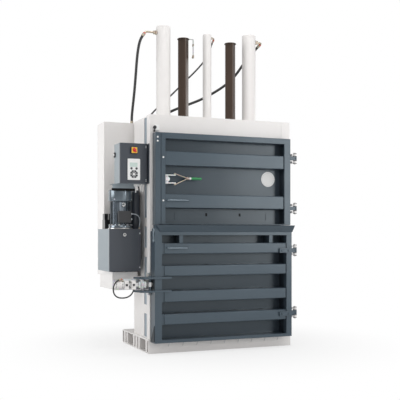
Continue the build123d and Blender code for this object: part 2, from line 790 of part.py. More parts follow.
def hinge_pin(level, leaf_height):
    """One hinge pin with its head."""
    reach = leaf_height / 2 + HINGE_LEAF_GAP + KNUCKLE_HEIGHT
    body = upright(HINGE_PIN_RADIUS, hinge_x, hinge_y, (level - reach - HINGE_PIN_HEAD, level + reach))
    head_z = (level + reach, level + reach + HINGE_PIN_HEAD)
    return body + upright(HINGE_PIN_RADIUS * 1.5, hinge_x, hinge_y, head_z)


def leaf_eye(level, height, left):
    """A hinge leaf's eye and the block that joins it to the door."""
    z = about(level, height / 2)
    body = upright(HINGE_EYE_RADIUS, hinge_x, hinge_y, z)
    body += block((left, hinge_x), about(hinge_y, LEAF_THICKNESS / 2), z)
    return body - upright(HINGE_PIN_RADIUS + HINGE_PIN_GAP, hinge_x, hinge_y, (z[0] - 1, z[1] + 1))


def door_rib(left, right, z, rib_front):
    """One folded channel rib across a door, open at its right end."""
    body = block((left, right), (rib_front, skin_front), z)
    body = fillet(body.faces().sort_by(Axis.Y)[0].edges().filter_by(Axis.X), RIB_BEND)
    inner_z = (z[0] + RIB_WALL, z[1] - RIB_WALL)
    return body - block((left + RIB_WALL, right + 1), (rib_front + RIB_WALL, skin_front), inner_z)


def door_tray(x, z, depth, stile_left, stile_right_limit, rail_top, rail_bottom):
    """A door's frame, skin and the plug that reaches in between the posts."""
    door_front = front - depth
    recess_x = (x[0] + stile_left, stile_right_limit)
    recess_z = (z[0] + rail_bottom, z[1] - rail_top)
    plug_left = max(recess_x[0] - DOOR_PLUG_WALL, -plug_right)
    plug_z = (recess_z[0] - min(DOOR_PLUG_WALL, rail_bottom) / 2, recess_z[1] + DOOR_PLUG_WALL)
    body = block(x, (door_front, door_back), z)
    body += block((plug_left, plug_right), (door_back, plug_back), plug_z)
    body -= block(recess_x, (door_front - 1, door_back - DOOR_PLUG_WALL), recess_z)
    deep_x = (plug_left + DOOR_PLUG_WALL, plug_right - DOOR_PLUG_WALL)
    return body - block(deep_x, (door_front - 1, skin_front), recess_z)


def loading_door():
    """The upper door: frame, skin and two ribs."""
    right_limit = plug_right - DOOR_PLUG_WALL
    z = (LOADING_SILL, head_bottom)
    body = door_tray(
        (loading_left, LOADING_RIGHT), z, LOADING_DEPTH,
        LOADING_LEFT_STILE, right_limit, LOADING_TOP_RAIL, LOADING_BOTTOM_RAIL,
    )
    rib_left = loading_left + LOADING_LEFT_STILE
    lower_rib = tuple(LOADING_SILL + rise for rise in LOADING_LOWER_RIB)
    upper_rib = tuple(head_bottom - drop for drop in LOADING_UPPER_RIB)
    for rib in (lower_rib, upper_rib):
        body += door_rib(rib_left, right_limit - RIB_END_GAP, rib, loading_front + RIB_SET_BACK)
    return body


def loading_hinge_leaves():
    """The two leaves at the loading door's right edge."""
    return [leaf_eye(level, LOADING_LEAF_HEIGHT, LOADING_RIGHT) for level in LOADING_HINGES]


def bale_door():
    """The lower door: frame, skin, four ribs, two gussets, the mitred inclined lip and the bolt pocket."""
    right_limit = plug_right - DOOR_PLUG_WALL
    body = door_tray(
        (bale_left, BALE_RIGHT), (BALE_BOTTOM, BALE_TOP), BALE_DEPTH,
        BALE_LEFT_STILE, right_limit, BALE_TOP_RAIL, BALE_BOTTOM_RAIL,
    )
    rib_left = bale_left + BALE_LEFT_STILE
    rib_front = bale_front + RIB_SET_BACK
    deep_left = -plug_right + DOOR_PLUG_WALL
    for rib in BALE_RIBS:
        body += door_rib(deep_left, right_limit - RIB_END_GAP, rib, rib_front)
        body += block((rib_left, deep_left + RIB_WALL), (rib_front + RIB_BEND, door_back - DOOR_PLUG_WALL), rib)
    gusset_z = (BALE_RIBS[-1][1], BALE_TOP - BALE_TOP_RAIL)
    for side in (-1, 1):
        gusset_x = about(side * GUSSET_PITCH / 2, GUSSET_WIDTH / 2)
        body += block(gusset_x, (rib_front + RIB_BEND, skin_front), gusset_z)
    lip_section = Plane.YZ * Polygon(
        (bale_front, BALE_TOP - LIP_THICKNESS),
        (bale_front, BALE_TOP),
        (bale_front - LIP_REACH, BALE_TOP + LIP_RISE),
        (bale_front - LIP_REACH - LIP_THICKNESS, BALE_TOP + LIP_RISE),
        (bale_front - LIP_THICKNESS * 0.4, BALE_TOP - LIP_THICKNESS),
        align=None,
    )
    lip_length = BALE_RIGHT + LIP_RIGHT_OVERHANG - bale_left
    lip_top = BALE_TOP + LIP_RISE
    mitre = Plane.XZ * Polygon(
        (bale_left - 1, lip_top + 1),
        (bale_left, lip_top),
        (bale_left + LIP_MITRE, BALE_TOP - LIP_THICKNESS),
        (bale_left - 1, BALE_TOP - LIP_THICKNESS - 1),
        align=None,
    )
    lip = Pos(bale_left, 0, 0) * extrude(lip_section, lip_length, dir=(1, 0, 0))
    body += lip - Pos(0, bale_front, 0) * extrude(mitre, 2 * LIP_REACH, dir=(0, -1, 0))
    corner_y = (bale_front, bale_front + LIP_CORNER_DEPTH)
    body += block((bale_left, bale_left + LIP_MITRE), corner_y, (BALE_TOP - 1, lip_top))
    pocket_y = about(lock_y, BOLT_THICKNESS / 2 + POCKET_GAP)
    pocket_z = about(LOCK_LEVEL, BOLT_HEIGHT / 2 + POCKET_GAP)
    return body - block((bale_left - 1, bale_left + POCKET_DEPTH), pocket_y, pocket_z)


def bale_hinge_leaves():
    """The two leaves at the bale door's right edge, each with a strap round the door's corner."""
    pieces = []
    for level in BALE_HINGES:
        z = about(level, BALE_LEAF_HEIGHT / 2)
        body = leaf_eye(level, BALE_LEAF_HEIGHT, BALE_RIGHT)
        strap_front = bale_front - BALE_LEAF_STRAP
        corner_right = BALE_RIGHT + BALE_LEAF_STRAP
        body += block((BALE_RIGHT, corner_right), (strap_front, hinge_y), z)
        body += block((BALE_RIGHT - BALE_LEAF_STRAP_LENGTH, corner_right), (strap_front, bale_front), z)
        pieces.append(body)
    return pieces


def bent_handle(x, seat_y, level):
    """A round bar handle bent back to its seat at both ends."""
    grip_y = seat_y - HANDLE_STAND_OFF
    points = [(x[0], seat_y, level), (x[0], grip_y, level), (x[1], grip_y, level), (x[1], seat_y, level)]
    path = FilletPolyline(*points, radius=HANDLE_BEND)
    section = Plane(origin=points[0], z_dir=(0, -1, 0)) * Circle(HANDLE_BAR_RADIUS)
    return sweep(section, path=path)


def latch_bracket():
    """The galvanised bracket that carries the latch lever on two arms."""
    arm_right = LATCH_LEFT + LATCH_ARM_LENGTH
    reach = (latch_y - LATCH_ARM_DEPTH / 2, skin_front)
    height = about(LATCH_LEVEL, (LATCH_ARM_PITCH + LATCH_ARM) / 2)
    plate_x = (LATCH_LEFT, LATCH_LEFT + LATCH_PLATE_WIDTH)
    body = block(plate_x, (skin_front - LATCH_PLATE, skin_front), height)
    body += block((LATCH_LEFT, LATCH_LEFT + LATCH_PLATE), reach, height)
    boss_x = LATCH_LEFT + LATCH_PLATE_WIDTH / 2
    body += along_y(LATCH_BOSS_RADIUS, boss_x, (latch_y, skin_front), LATCH_LEVEL)
    for side in (-1, 1):
        arm_level = LATCH_LEVEL + side * LATCH_ARM_PITCH / 2
        arm_z = about(arm_level, LATCH_ARM / 2)
        body += block((LATCH_LEFT, arm_right), about(latch_y, LATCH_ARM_DEPTH / 2), arm_z)
        pin_end = arm_level + side * (LATCH_ARM / 2 + LATCH_PIN_LENGTH)
        pin_z = tuple(sorted((arm_level, pin_end)))
        body += upright(LATCH_PIN_RADIUS, latch_pivot_x(), latch_y, pin_z)
    return body


def latch_pivot_x():
    """The X place of the latch lever's pins."""
    return LATCH_LEFT + LATCH_ARM_LENGTH - LATCH_ARM_DEPTH / 2


def latch_lever():
    """The forked lever: two eyes, two rods that meet, and the collar."""
    pivot_x = latch_pivot_x()
    collar_left = pivot_x + LATCH_FORK_LENGTH
    grip_level = LATCH_LEVEL + LATCH_GRIP_RISE
    collar_x = (collar_left, collar_left + LATCH_COLLAR_LENGTH)
    body = along_x(LATCH_COLLAR_RADIUS, collar_x, latch_y, grip_level)
    bores = []
    for side in (-1, 1):
        eye_inner = LATCH_LEVEL + side * (LATCH_ARM_PITCH + LATCH_ARM + 2 * RUNNING_GAP) / 2
        eye_z = tuple(sorted((eye_inner, eye_inner + side * LATCH_EYE_HEIGHT)))
        body += upright(LATCH_EYE_RADIUS, pivot_x, latch_y, eye_z)
        bores.append(upright(LATCH_PIN_RADIUS + LATCH_PIN_GAP, pivot_x, latch_y, (eye_z[0] - 1, eye_z[1] + 1)))
        rod_start = (pivot_x, latch_y, eye_inner + side * LATCH_ROD_LEVEL)
        rod_end = (collar_left + LATCH_COLLAR_LENGTH / 2, latch_y, grip_level)
        body += along(LATCH_ROD_RADIUS, rod_start, rod_end)
    for bore in bores:
        body -= bore
    return body


def latch_grip():
    """The green grip on the end of the latch lever."""
    left = latch_pivot_x() + LATCH_FORK_LENGTH + LATCH_COLLAR_LENGTH
    grip_level = LATCH_LEVEL + LATCH_GRIP_RISE
    body = along_x(LATCH_GRIP_RADIUS, (left, left + LATCH_GRIP_LENGTH), latch_y, grip_level)
    return fillet(body.edges().group_by(Axis.X)[-1], LATCH_GRIP_RADIUS * 0.6)


def lock_straps():
    """The two straps on the bale door that carry the lock pin, and the pin."""
    face_y = bale_front - LOCK_STRAP_FACE
    back_y = front - LOCK_STRAP_BACK_GAP
    outline = Polygon(
        (LOCK_STRAP_RIGHT, bale_front),
        (LOCK_STRAP_RIGHT, face_y),
        (LOCK_STRAP_LEFT + LOCK_STRAP_FACE, face_y),
        (LOCK_STRAP_LEFT, face_y + LOCK_STRAP_FACE),
        (LOCK_STRAP_LEFT - LOCK_STRAP_SKEW, back_y),
        (bale_left, back_y),
        (bale_left, bale_front),
        align=None,
    )
    pieces = []
    half_pitch = STRAP_LEVEL_PITCH / 2
    for side in (-1, 1):
        level = LOCK_LEVEL + side * half_pitch
        strap = Pos(0, 0, level - LOCK_STRAP / 2) * extrude(outline, LOCK_STRAP, dir=(0, 0, 1))
        pieces.append(strap)
    pin_y = front - LOCK_PIN_FORWARD
    reach = half_pitch + LOCK_STRAP / 2
    pin = upright(LOCK_PIN_RADIUS, LOCK_PIN_X, pin_y, about(LOCK_LEVEL, reach))
    for side in (-1, 1):
        head_z = tuple(sorted((LOCK_LEVEL + side * reach, LOCK_LEVEL + side * (reach + LOCK_PIN_HEAD))))
        pin += upright(LOCK_PIN_HEAD_RADIUS, LOCK_PIN_X, pin_y, head_z)
    return pieces[0] + pieces[1] + pin


def lock_bracket():
    """The frame-side bracket: mounting plate, foot on the post, guide block and tube."""
    plate_back = front + 2
    plate_y = (plate_back - LOCK_PLATE, plate_back)
    plate_left = -post_outer - LOCK_PLATE_LENGTH
    plate_z = about(LOCK_LEVEL, LOCK_PLATE_HEIGHT / 2)
    body = block((plate_left, -post_outer), plate_y, plate_z)
    foot_z = about(LOCK_LEVEL, LOCK_FOOT_HEIGHT / 2)
    foot_y = (plate_back - LOCK_FOOT / 2, plate_back + LOCK_FOOT_DEPTH)
    body += block((-post_outer - LOCK_FOOT, -post_outer), foot_y, foot_z)
    half_height = BOLT_HEIGHT / 2 + BOLT_GAP + GUIDE_BLOCK_WALL
    half_depth = BOLT_THICKNESS / 2 + BOLT_GAP + GUIDE_BLOCK_WALL
    guide_x = (GUIDE_BLOCK_RIGHT - GUIDE_BLOCK_LENGTH, GUIDE_BLOCK_RIGHT)
    guide_z = about(LOCK_LEVEL, half_height)
    body += block(guide_x, (lock_y - half_depth, plate_y[0] + 1), guide_z)
    tube_z = about(LOCK_LEVEL, LOCK_PLATE_HEIGHT / 2)
    tube_y = lock_y - half_depth
    body += upright(LOCK_TUBE_RADIUS, GUIDE_BLOCK_RIGHT - GUIDE_BLOCK_LENGTH / 2, tube_y, tube_z)
    bore_z = about(LOCK_LEVEL, BOLT_HEIGHT / 2 + BOLT_GAP)
    bore_y = about(lock_y, BOLT_THICKNESS / 2 + BOLT_GAP)
    body -= block((guide_x[0] - 1, guide_x[1] + 1), bore_y, bore_z)
    head_x = (LOCK_CYLINDER_RIGHT, LOCK_CYLINDER_RIGHT + LOCK_CYLINDER_CAP)
    body += block(head_x, (lock_y - half_depth, plate_y[0] + 1), about(LOCK_LEVEL, LOCK_CYLINDER_RADIUS))
    rod_hole = (head_x[0] - 1, head_x[1] + 1)
    return body - along_x(BOLT_ROD_RADIUS + BOLT_GAP, rod_hole, lock_y, LOCK_LEVEL)


def lock_cylinder():
    """The small hydraulic cylinder that drives the lock bolt."""
    x = (LOCK_CYLINDER_RIGHT - LOCK_CYLINDER_LENGTH, LOCK_CYLINDER_RIGHT)
    body = along_x(LOCK_CYLINDER_RADIUS, x, lock_y, LOCK_LEVEL)
    body = chamfer(body.edges().group_by(Axis.X)[0], 3)
    bore_x = (x[0] + LOCK_CYLINDER_CAP, x[1] + 1)
    return body - along_x(LOCK_CYLINDER_RADIUS * 0.7, bore_x, lock_y, LOCK_LEVEL)


def lock_bolt():
    """The sliding bolt with its rod and piston, drawn back clear of the door."""
    tip = bale_left - DOOR_GAP
    tail = tip - BOLT_LENGTH
    half_y = BOLT_THICKNESS / 2
    body = block((tail, tip), about(lock_y, half_y), about(LOCK_LEVEL, BOLT_HEIGHT / 2))
    body = chamfer(body.faces().sort_by(Axis.X)[-1].edges(), 4)
    piston_left = LOCK_CYLINDER_RIGHT - LOCK_CYLINDER_LENGTH + LOCK_CYLINDER_CAP + 2
    body += along_x(BOLT_ROD_RADIUS, (piston_left, tail + 1), lock_y, LOCK_LEVEL)
    piston_radius = LOCK_CYLINDER_RADIUS * 0.7 - RUNNING_GAP
    return body + along_x(piston_radius, (piston_left, piston_left + 14), lock_y, LOCK_LEVEL)


def service_duct():
    """The tall sheet duct that takes the hoses down behind the machine."""
    z = (beam_top, FRAME_HEIGHT)
    body = block((duct_left, duct_right), (duct_front, duct_back), z)
    inner_x = (duct_left + DUCT_SHEET, duct_right - DUCT_SHEET)
    inner_y = (duct_front + DUCT_SHEET, duct_back - DUCT_SHEET)
    body -= block(inner_x, inner_y, (z[0] + DUCT_SHEET, z[1] - DUCT_SHEET))
    for x, y, z_low, radius in duct_top_ports():
        body -= upright(radius, x, y, (z_low - 2 * DUCT_SHEET, z_low + 1))
    for y, level, radius in duct_side_ports():
        body -= along_x(radius, (duct_right - 2 * DUCT_SHEET, duct_right + 1), y, level)
    return body


def duct_top_ports():
    """Place, level and radius of the fitting in the duct's top plate."""
    x, y, _ = LEFT_HOSE[-1]
    return ((x, y, FRAME_HEIGHT, HOSE_RADIUS + SLEEVE_WALL + PORT_GAP),)


def duct_side_ports():
    """Depth, level and radius of the fittings in the duct's right wall."""
    ports = []
    for hose, radius in ((CENTRE_HOSE, CENTRE_HOSE_RADIUS), (RIGHT_HOSE, HOSE_RADIUS)):
        _, y, z = hose[-1]
        ports.append((y, z - ELBOW_DROP, radius + SLEEVE_WALL + PORT_GAP))
    return ports


def tank_beam():
    """The hollow beam that carries the tank and the duct, welded to the side column."""
    x = (duct_left, -column_face)
    body = block(x, (beam_front, beam_front + BEAM_DEPTH), (BEAM_BOTTOM, beam_top))
    inner_y = (beam_front + BEAM_WALL, beam_front + BEAM_DEPTH - BEAM_WALL)
    inner_z = (BEAM_BOTTOM + BEAM_WALL, beam_top - BEAM_WALL)
    body -= block((x[0] - 1, x[1] + 1), inner_y, inner_z)
    body += block((duct_left, duct_left + BEAM_WALL), inner_y, inner_z)
    lug_x = (-column_face, duct_right)
    return body + block(lug_x, (column_back, beam_front + BEAM_DEPTH), (BEAM_BOTTOM, beam_top))


def oil_tank():
    """The welded oil tank on its four round feet."""
    x = (TANK_LEFT, TANK_RIGHT)
    y = (tank_front + TANK_PANEL, tank_front + TANK_DEPTH)
    body = block(x, y, (tank_bottom, tank_top))
    body = fillet(body.edges().filter_by(Axis.Z), 4)
    foot_y = (max(y[0], beam_front) + TANK_FOOT_INSET, y[1] - TANK_FOOT_INSET)
    for foot_x in (duct_left + TANK_FOOT_INSET / 2, TANK_RIGHT - TANK_FOOT_INSET / 2):
        for place in foot_y:
            body += upright(TANK_FOOT_RADIUS, foot_x, place, (beam_top, tank_bottom + 1))
    return body


def tank_front_panel():
    """The dark cover on the tank's front, with the round oil gauge."""
    z = (tank_bottom, tank_top)
    body = block((TANK_LEFT, TANK_RIGHT), (tank_front, tank_front + TANK_PANEL), z)
    gauge_x = TANK_LEFT + GAUGE_FROM_LEFT
    gauge_y = (tank_front - GAUGE_DEPTH, tank_front + 1)
    gauge = along_y(GAUGE_RADIUS, gauge_x, gauge_y, tank_top - GAUGE_DROP)
    return body + gauge


def motor_body():
    """The finned motor housing on its flange."""
    flange_z = (tank_top, tank_top + MOTOR_FLANGE)
    body_z = (tank_top + MOTOR_FLANGE, motor_top)
    body = upright(MOTOR_FLANGE_RADIUS, MOTOR_X, motor_y, flange_z)
    body += upright(MOTOR_CORE_RADIUS, MOTOR_X, motor_y, body_z)
    fin_z = (body_z[0] + 12, body_z[1] - 4)
    fin_length = 2 * MOTOR_FIN_RADIUS
    for index in range(MOTOR_FINS // 2):
        angle = 360 / MOTOR_FINS * (index + 0.5)
        fin = Box(fin_length, MOTOR_FIN, fin_z[1] - fin_z[0])
        body += Pos(MOTOR_X, motor_y, sum(fin_z) / 2) * Rot(0, 0, angle) * fin
    bore_z = (motor_top - FAN_SHAFT_LENGTH / 2, motor_top + 1)
    return body - upright(FAN_SHAFT_RADIUS + RUNNING_GAP, MOTOR_X, motor_y, bore_z)


def fan_cover():
    """The pressed cover over the motor fan, with a slotted top."""
    z = (motor_top, fan_cover_top)
    body = upright(FAN_COVER_RADIUS, MOTOR_X, motor_y, z)
    body = fillet(body.edges().group_by(Axis.Z)[-1], 10)
    cavity_radius = FAN_COVER_RADIUS - FAN_COVER_SHEET
    body -= upright(cavity_radius, MOTOR_X, motor_y, (z[0] + FAN_COVER_SHEET, z[1] - FAN_COVER_SHEET))
    body -= upright(FAN_SHAFT_RADIUS + 8, MOTOR_X, motor_y, (z[0] - 1, z[0] + FAN_COVER_SHEET + 1))
    middle = (FAN_GRILLE_SLOTS - 1) / 2
    for index in range(FAN_GRILLE_SLOTS):
        offset = (index - middle) * FAN_GRILLE_PITCH
        reach = math.sqrt((cavity_radius - 12) ** 2 - offset ** 2)
        slot_y = about(motor_y + offset, FAN_GRILLE_SLOT / 2)
        body -= block(about(MOTOR_X, reach), slot_y, (z[1] - FAN_COVER_SHEET - 1, z[1] + 1))
    return body


def motor_fan():
    """The motor shaft's end with the cooling fan."""
    shaft_z = (motor_top - FAN_SHAFT_LENGTH / 2 + FAN_REST_GAP, motor_top + FAN_SHAFT_LENGTH)
    body = upright(FAN_SHAFT_RADIUS, MOTOR_X, motor_y, shaft_z)
    blade_bottom = motor_top + FAN_COVER_SHEET + 12
    blade_z = blade_bottom + FAN_BLADE_HEIGHT / 2
    for index in range(FAN_BLADES):
        blade = Pos(FAN_BLADE_RADIUS / 2, 0, 0) * Box(FAN_BLADE_RADIUS, FAN_BLADE, FAN_BLADE_HEIGHT)
        body += Pos(MOTOR_X, motor_y, blade_z) * Rot(0, 0, 360 / FAN_BLADES * index) * blade
    return body + upright(FAN_BLADE_RADIUS, MOTOR_X, motor_y, (blade_bottom, blade_bottom + 3))


def terminal_places():
    """The terminal box's front plane, level and the levels of its two glands."""
    terminal_front = motor_y - MOTOR_CORE_RADIUS - 15 - TERMINAL_DEPTH
    bottom = tank_top + TERMINAL_BASE
    glands = (bottom + TERMINAL_HEIGHT * 0.3, bottom + TERMINAL_HEIGHT * 0.75)
    return terminal_front, bottom, glands


def terminal_box():
    """The motor's terminal box with its lid and two cable glands."""
    terminal_front, bottom, glands = terminal_places()
    x = about(MOTOR_X, TERMINAL_WIDTH / 2)
    z = (bottom, bottom + TERMINAL_HEIGHT)
    seat = motor_y - MOTOR_FIN_RADIUS
    body = block((x[0] + 4, x[1] - 4), (terminal_front + TERMINAL_LID, seat), (z[0] + 4, z[1] - 4))
    lid = block(x, (terminal_front, terminal_front + TERMINAL_LID), z)
    body += fillet(lid.edges().filter_by(Axis.Y), 8)
    gland_y = (terminal_front + TERMINAL_LID + seat) / 2
    for level in glands:
        body += along_x(CABLE_GLAND_RADIUS, (x[1] - 5, x[1] - 4 + CABLE_GLAND_LENGTH), gland_y, level)
    return body


def return_filter():
    """The upright return filter housing beside the motor."""
    y = front + FILTER_SET_BACK
    z = (tank_top, tank_top + FILTER_HEIGHT)
    body = upright(FILTER_RADIUS, FILTER_X, y, z)
    body = fillet(body.edges().group_by(Axis.Z)[-1], 8)
    cap = upright(FILTER_CAP_RADIUS, FILTER_X, y, (z[1] - 1, z[1] + FILTER_CAP_HEIGHT))
    return body + cap


def valve_block():
    """The manifold behind the motor, with two solenoid coils."""
    x = (VALVE_LEFT, VALVE_LEFT + VALVE_WIDTH)
    y = (front + VALVE_SET_BACK, front + VALVE_SET_BACK + VALVE_DEPTH)
    body = block(x, y, (tank_top, tank_top + VALVE_HEIGHT * 0.6))
    coil_width = VALVE_WIDTH * 0.42
    for coil_left in (x[0], x[1] - coil_width):
        coil_y = (y[0] + 12, y[1] - 12)
        body += block((coil_left, coil_left + coil_width), coil_y, (tank_top, tank_top + VALVE_HEIGHT))
    return body


def motor_guard():
    """The folded sheet guard under the cabinet, in front of the motor's fan."""
    x = (GUARD_LEFT, GUARD_LEFT + GUARD_WIDTH)
    guard_front = front + GUARD_SET_BACK
    flange_z = (CABINET_BOTTOM - GUARD_HEIGHT, CABINET_BOTTOM)
    body = block(x, (guard_front, guard_front + GUARD_SHEET), flange_z)
    leg_z = (CABINET_BOTTOM - GUARD_SHEET, CABINET_BOTTOM)
    return body + block(x, (guard_front, guard_front + GUARD_DEPTH), leg_z)


def cabinet_bracket():
    """The plate that carries the cabinet on the left post, with the door's hinge lugs and pins."""
    z = (CABINET_BOTTOM, cabinet_top)
    body = block((cabinet_right, -post_outer), (shell_front, cabinet_back), z)
    flange_x = (-post_outer - BRACKET_FLANGE, -post_outer)
    body += block(flange_x, (cabinet_front - BRACKET_FORWARD, shell_front), z)
    for low, high in cabinet_hinge_levels():
        lug_z = (high + RUNNING_GAP, high + RUNNING_GAP + CABINET_HINGE_LUG)
        lug_x = (cabinet_hinge_x, -post_outer)
        body += block(lug_x, about(cabinet_front, CABINET_HINGE_RADIUS), lug_z)
        body += upright(CABINET_HINGE_RADIUS, cabinet_hinge_x, cabinet_front, lug_z)
        body += upright(CABINET_HINGE_PIN, cabinet_hinge_x, cabinet_front, (low + 4, lug_z[1]))
    return body


def cabinet_hinge_levels():
    """The Z limits of the two knuckles on the cabinet door."""
    low = CABINET_BOTTOM + CABINET_HINGE_MARGIN
    high = cabinet_top - CABINET_HINGE_MARGIN
    return ((low, low + CABINET_HINGE_HEIGHT), (high - CABINET_HINGE_HEIGHT, high))


def cabinet_body():
    """The cabinet's shell, open at the front, with glands in its floor."""
    x = (cabinet_left, cabinet_right)
    z = (CABINET_BOTTOM, cabinet_top)
    body = block(x, (shell_front, cabinet_back), z)
    inner_x = (x[0] + CABINET_SHEET, x[1] - CABINET_SHEET)
    inner_z = (z[0] + CABINET_SHEET, z[1] - CABINET_SHEET)
    body -= block(inner_x, (shell_front - 1, cabinet_back - CABINET_SHEET), inner_z)
    gland_y = (shell_front + cabinet_back) / 2
    for offset in CABINET_GLANDS:
        gland_z = (z[0] - CABINET_GLAND_LENGTH, z[0] + 1)
        body += upright(CABINET_GLAND_RADIUS, cabinet_left + offset, gland_y, gland_z)
    lock_y_place = cabinet_back - SIDE_LOCK_FORWARD
    hole_x = (x[0] - 1, x[0] + CABINET_SHEET + 1)
    return body - along_x(SIDE_LOCK_CORE_RADIUS + SIDE_LOCK_GAP, hole_x, lock_y_place, SIDE_LOCK_LEVEL)


def control_gear():
    """The mounting plate in the cabinet with its rail-mounted control gear."""
    x = (cabinet_left + GEAR_MARGIN, cabinet_right - GEAR_MARGIN)
    z = (CABINET_BOTTOM + GEAR_MARGIN, cabinet_top - GEAR_MARGIN)
    back_y = cabinet_back - CABINET_SHEET
    plate_y = (back_y - GEAR_STAND_OFF, back_y - GEAR_STAND_OFF + GEAR_PLATE)
    body = block(x, plate_y, z)
    for corner_x in (x[0] + 10, x[1] - 10):
        for corner_z in (z[0] + 10, z[1] - 10):
            body += along_y(5, corner_x, (plate_y[0], back_y), corner_z)
    width = x[1] - x[0]
    middle = sum(z) / 2
    for low, high in GEAR_BLOCKS:
        block_x = (x[0] + low * width, x[0] + high * width)
        gear_y = (plate_y[0] - GEAR_BLOCK_DEPTH, plate_y[0] + 1)
        body += block(block_x, gear_y, about(middle, GEAR_BLOCK_HEIGHT / 2))
    return body


def cabinet_door():
    """The folded cabinet door with its two hinge knuckles."""
    x = (cabinet_left, cabinet_right - CABINET_DOOR_SIDE_GAP)
    y = (cabinet_front, cabinet_front + CABINET_DOOR_DEPTH)
    z = (CABINET_BOTTOM, cabinet_top)
    body = block(x, y, z)
    inner_x = (x[0] + CABINET_SHEET, x[1] - CABINET_SHEET)
    inner_z = (z[0] + CABINET_SHEET, z[1] - CABINET_SHEET)
    body -= block(inner_x, (y[0] + CABINET_SHEET, y[1] + 1), inner_z)
    for low, high in cabinet_hinge_levels():
        body += upright(CABINET_HINGE_RADIUS, cabinet_hinge_x, cabinet_front, (low, high))
        lug_gap = (high, high + 2 * RUNNING_GAP + CABINET_HINGE_LUG)
        notch_x = (cabinet_hinge_x - CABINET_HINGE_RADIUS - 1, cabinet_hinge_x + CABINET_HINGE_RADIUS + 1)
        body -= block(notch_x, about(cabinet_front, CABINET_HINGE_RADIUS + 1), lug_gap)
        body -= upright(CABINET_HINGE_PIN + HINGE_PIN_GAP, cabinet_hinge_x, cabinet_front, (low + 3, high + 1))
    return body


def main_switch_base():
    """The main switch's dark base and its square front plate."""
    base_y = (cabinet_front - SWITCH_BASE, cabinet_front)
    plate_y = (base_y[0] - SWITCH_PLATE, base_y[0])
    body = block(about(SWITCH_X, SWITCH_BASE_SIDE / 2), base_y, about(SWITCH_LEVEL, SWITCH_BASE_SIDE / 2))
    return body + block(about(SWITCH_X, SWITCH_PLATE_SIDE / 2), plate_y, about(SWITCH_LEVEL, SWITCH_PLATE_SIDE / 2))


def main_switch_handle():
    """The round knob and bar that turn the main switch."""
    seat = cabinet_front - SWITCH_BASE - SWITCH_PLATE - RUNNING_GAP
    knob_front = seat - SWITCH_KNOB
    body = along_y(SWITCH_KNOB_RADIUS, SWITCH_X, (knob_front, seat), SWITCH_LEVEL)
    bar = Box(SWITCH_BAR_WIDTH, SWITCH_BAR, SWITCH_BAR_LENGTH)
    bar = fillet(bar.edges().filter_by(Axis.Y), SWITCH_BAR_WIDTH * 0.3)
    place = Pos(SWITCH_X, knob_front - SWITCH_BAR / 2 + 0.5, SWITCH_LEVEL)
    return body + place * Rot(0, -SWITCH_BAR_ANGLE, 0) * bar


def control_panel():
    """The operating panel with a recessed screen, embossed membrane keys and two button holes."""
    x = about(PANEL_X, PANEL_WIDTH / 2)
    y = (panel_face, cabinet_front)
    body = block(x, y, (PANEL_BOTTOM, PANEL_BOTTOM + PANEL_HEIGHT))
    body = fillet(body.edges().filter_by(Axis.Y), PANEL_CORNER)
    screen_x = about(PANEL_X, SCREEN_WIDTH / 2)
    screen_z = about(SCREEN_LEVEL, SCREEN_HEIGHT / 2)
    body -= block(screen_x, (panel_face - 1, panel_face + SCREEN_RECESS), screen_z)
    for button_x in button_places():
        hole_y = (panel_face - 1, panel_face + BUTTON_TRAVEL + BUTTON_SEAT + 1)
        body -= along_y(BUTTON_RADIUS + BUTTON_GAP, button_x, hole_y, BUTTON_LEVEL)
    for quadrant in range(4):
        for key_angle in KEY_ANGLES:
            body += Pos(PANEL_X, panel_face, KEY_LEVEL) * Rot(0, 90 * quadrant + key_angle - 45, 0) * panel_key()
    return body


def panel_key():
    """One embossed key, a wedge of a ring that points along +X."""
    half = math.radians(KEY_HALF_ANGLE)
    corners = []
    for radius, angle in (
        (KEY_INNER_RADIUS, -half), (KEY_OUTER_RADIUS, -half), (KEY_OUTER_RADIUS, half), (KEY_INNER_RADIUS, half),
    ):
        corners.append((radius * math.cos(angle), radius * math.sin(angle)))
    outline = Plane.XZ * Polygon(*corners, align=None)
    return extrude(outline, KEY_RAISE)


def button_places():
    """The X places of the two push buttons."""
    return (PANEL_X - BUTTON_PITCH / 2, PANEL_X + BUTTON_PITCH / 2)


def panel_button(x):
    """One round push button, standing proud of the panel."""
    body = along_y(BUTTON_RADIUS, x, (panel_face - BUTTON_PROUD, panel_face + BUTTON_SEAT), BUTTON_LEVEL)
    return fillet(body.edges().group_by(Axis.Y)[0], 1.5)


def cabinet_lock():
    """The quarter-turn lock in the cabinet's left wall."""
    y = cabinet_back - SIDE_LOCK_FORWARD
    face = cabinet_left - RUNNING_GAP
    body = along_x(SIDE_LOCK_RADIUS, (face - SIDE_LOCK_COLLAR, face), y, SIDE_LOCK_LEVEL)
    core_x = (face - SIDE_LOCK_COLLAR - SIDE_LOCK_CORE, cabinet_left + CABINET_SHEET + 4)
    body += along_x(SIDE_LOCK_CORE_RADIUS, core_x, y, SIDE_LOCK_LEVEL)
    slot_x = (core_x[0] - 1, core_x[0] + 3)
    return body - block(slot_x, about(y, 1.2), about(SIDE_LOCK_LEVEL, SIDE_LOCK_CORE_RADIUS + 1))


def limit_switch_places():
    """The limit switch's X limits, bottom level and lever axle."""
    left = -post_outer + LIMIT_SWITCH_INSET
    bottom = head_bottom + LIMIT_SWITCH_ABOVE_JAMB
    axle_y = front - LIMIT_SWITCH_DEPTH / 2
    axle_z = bottom + LIMIT_SWITCH_HEIGHT * 0.7
    return (left, left + LIMIT_SWITCH_WIDTH), bottom, axle_y, axle_z


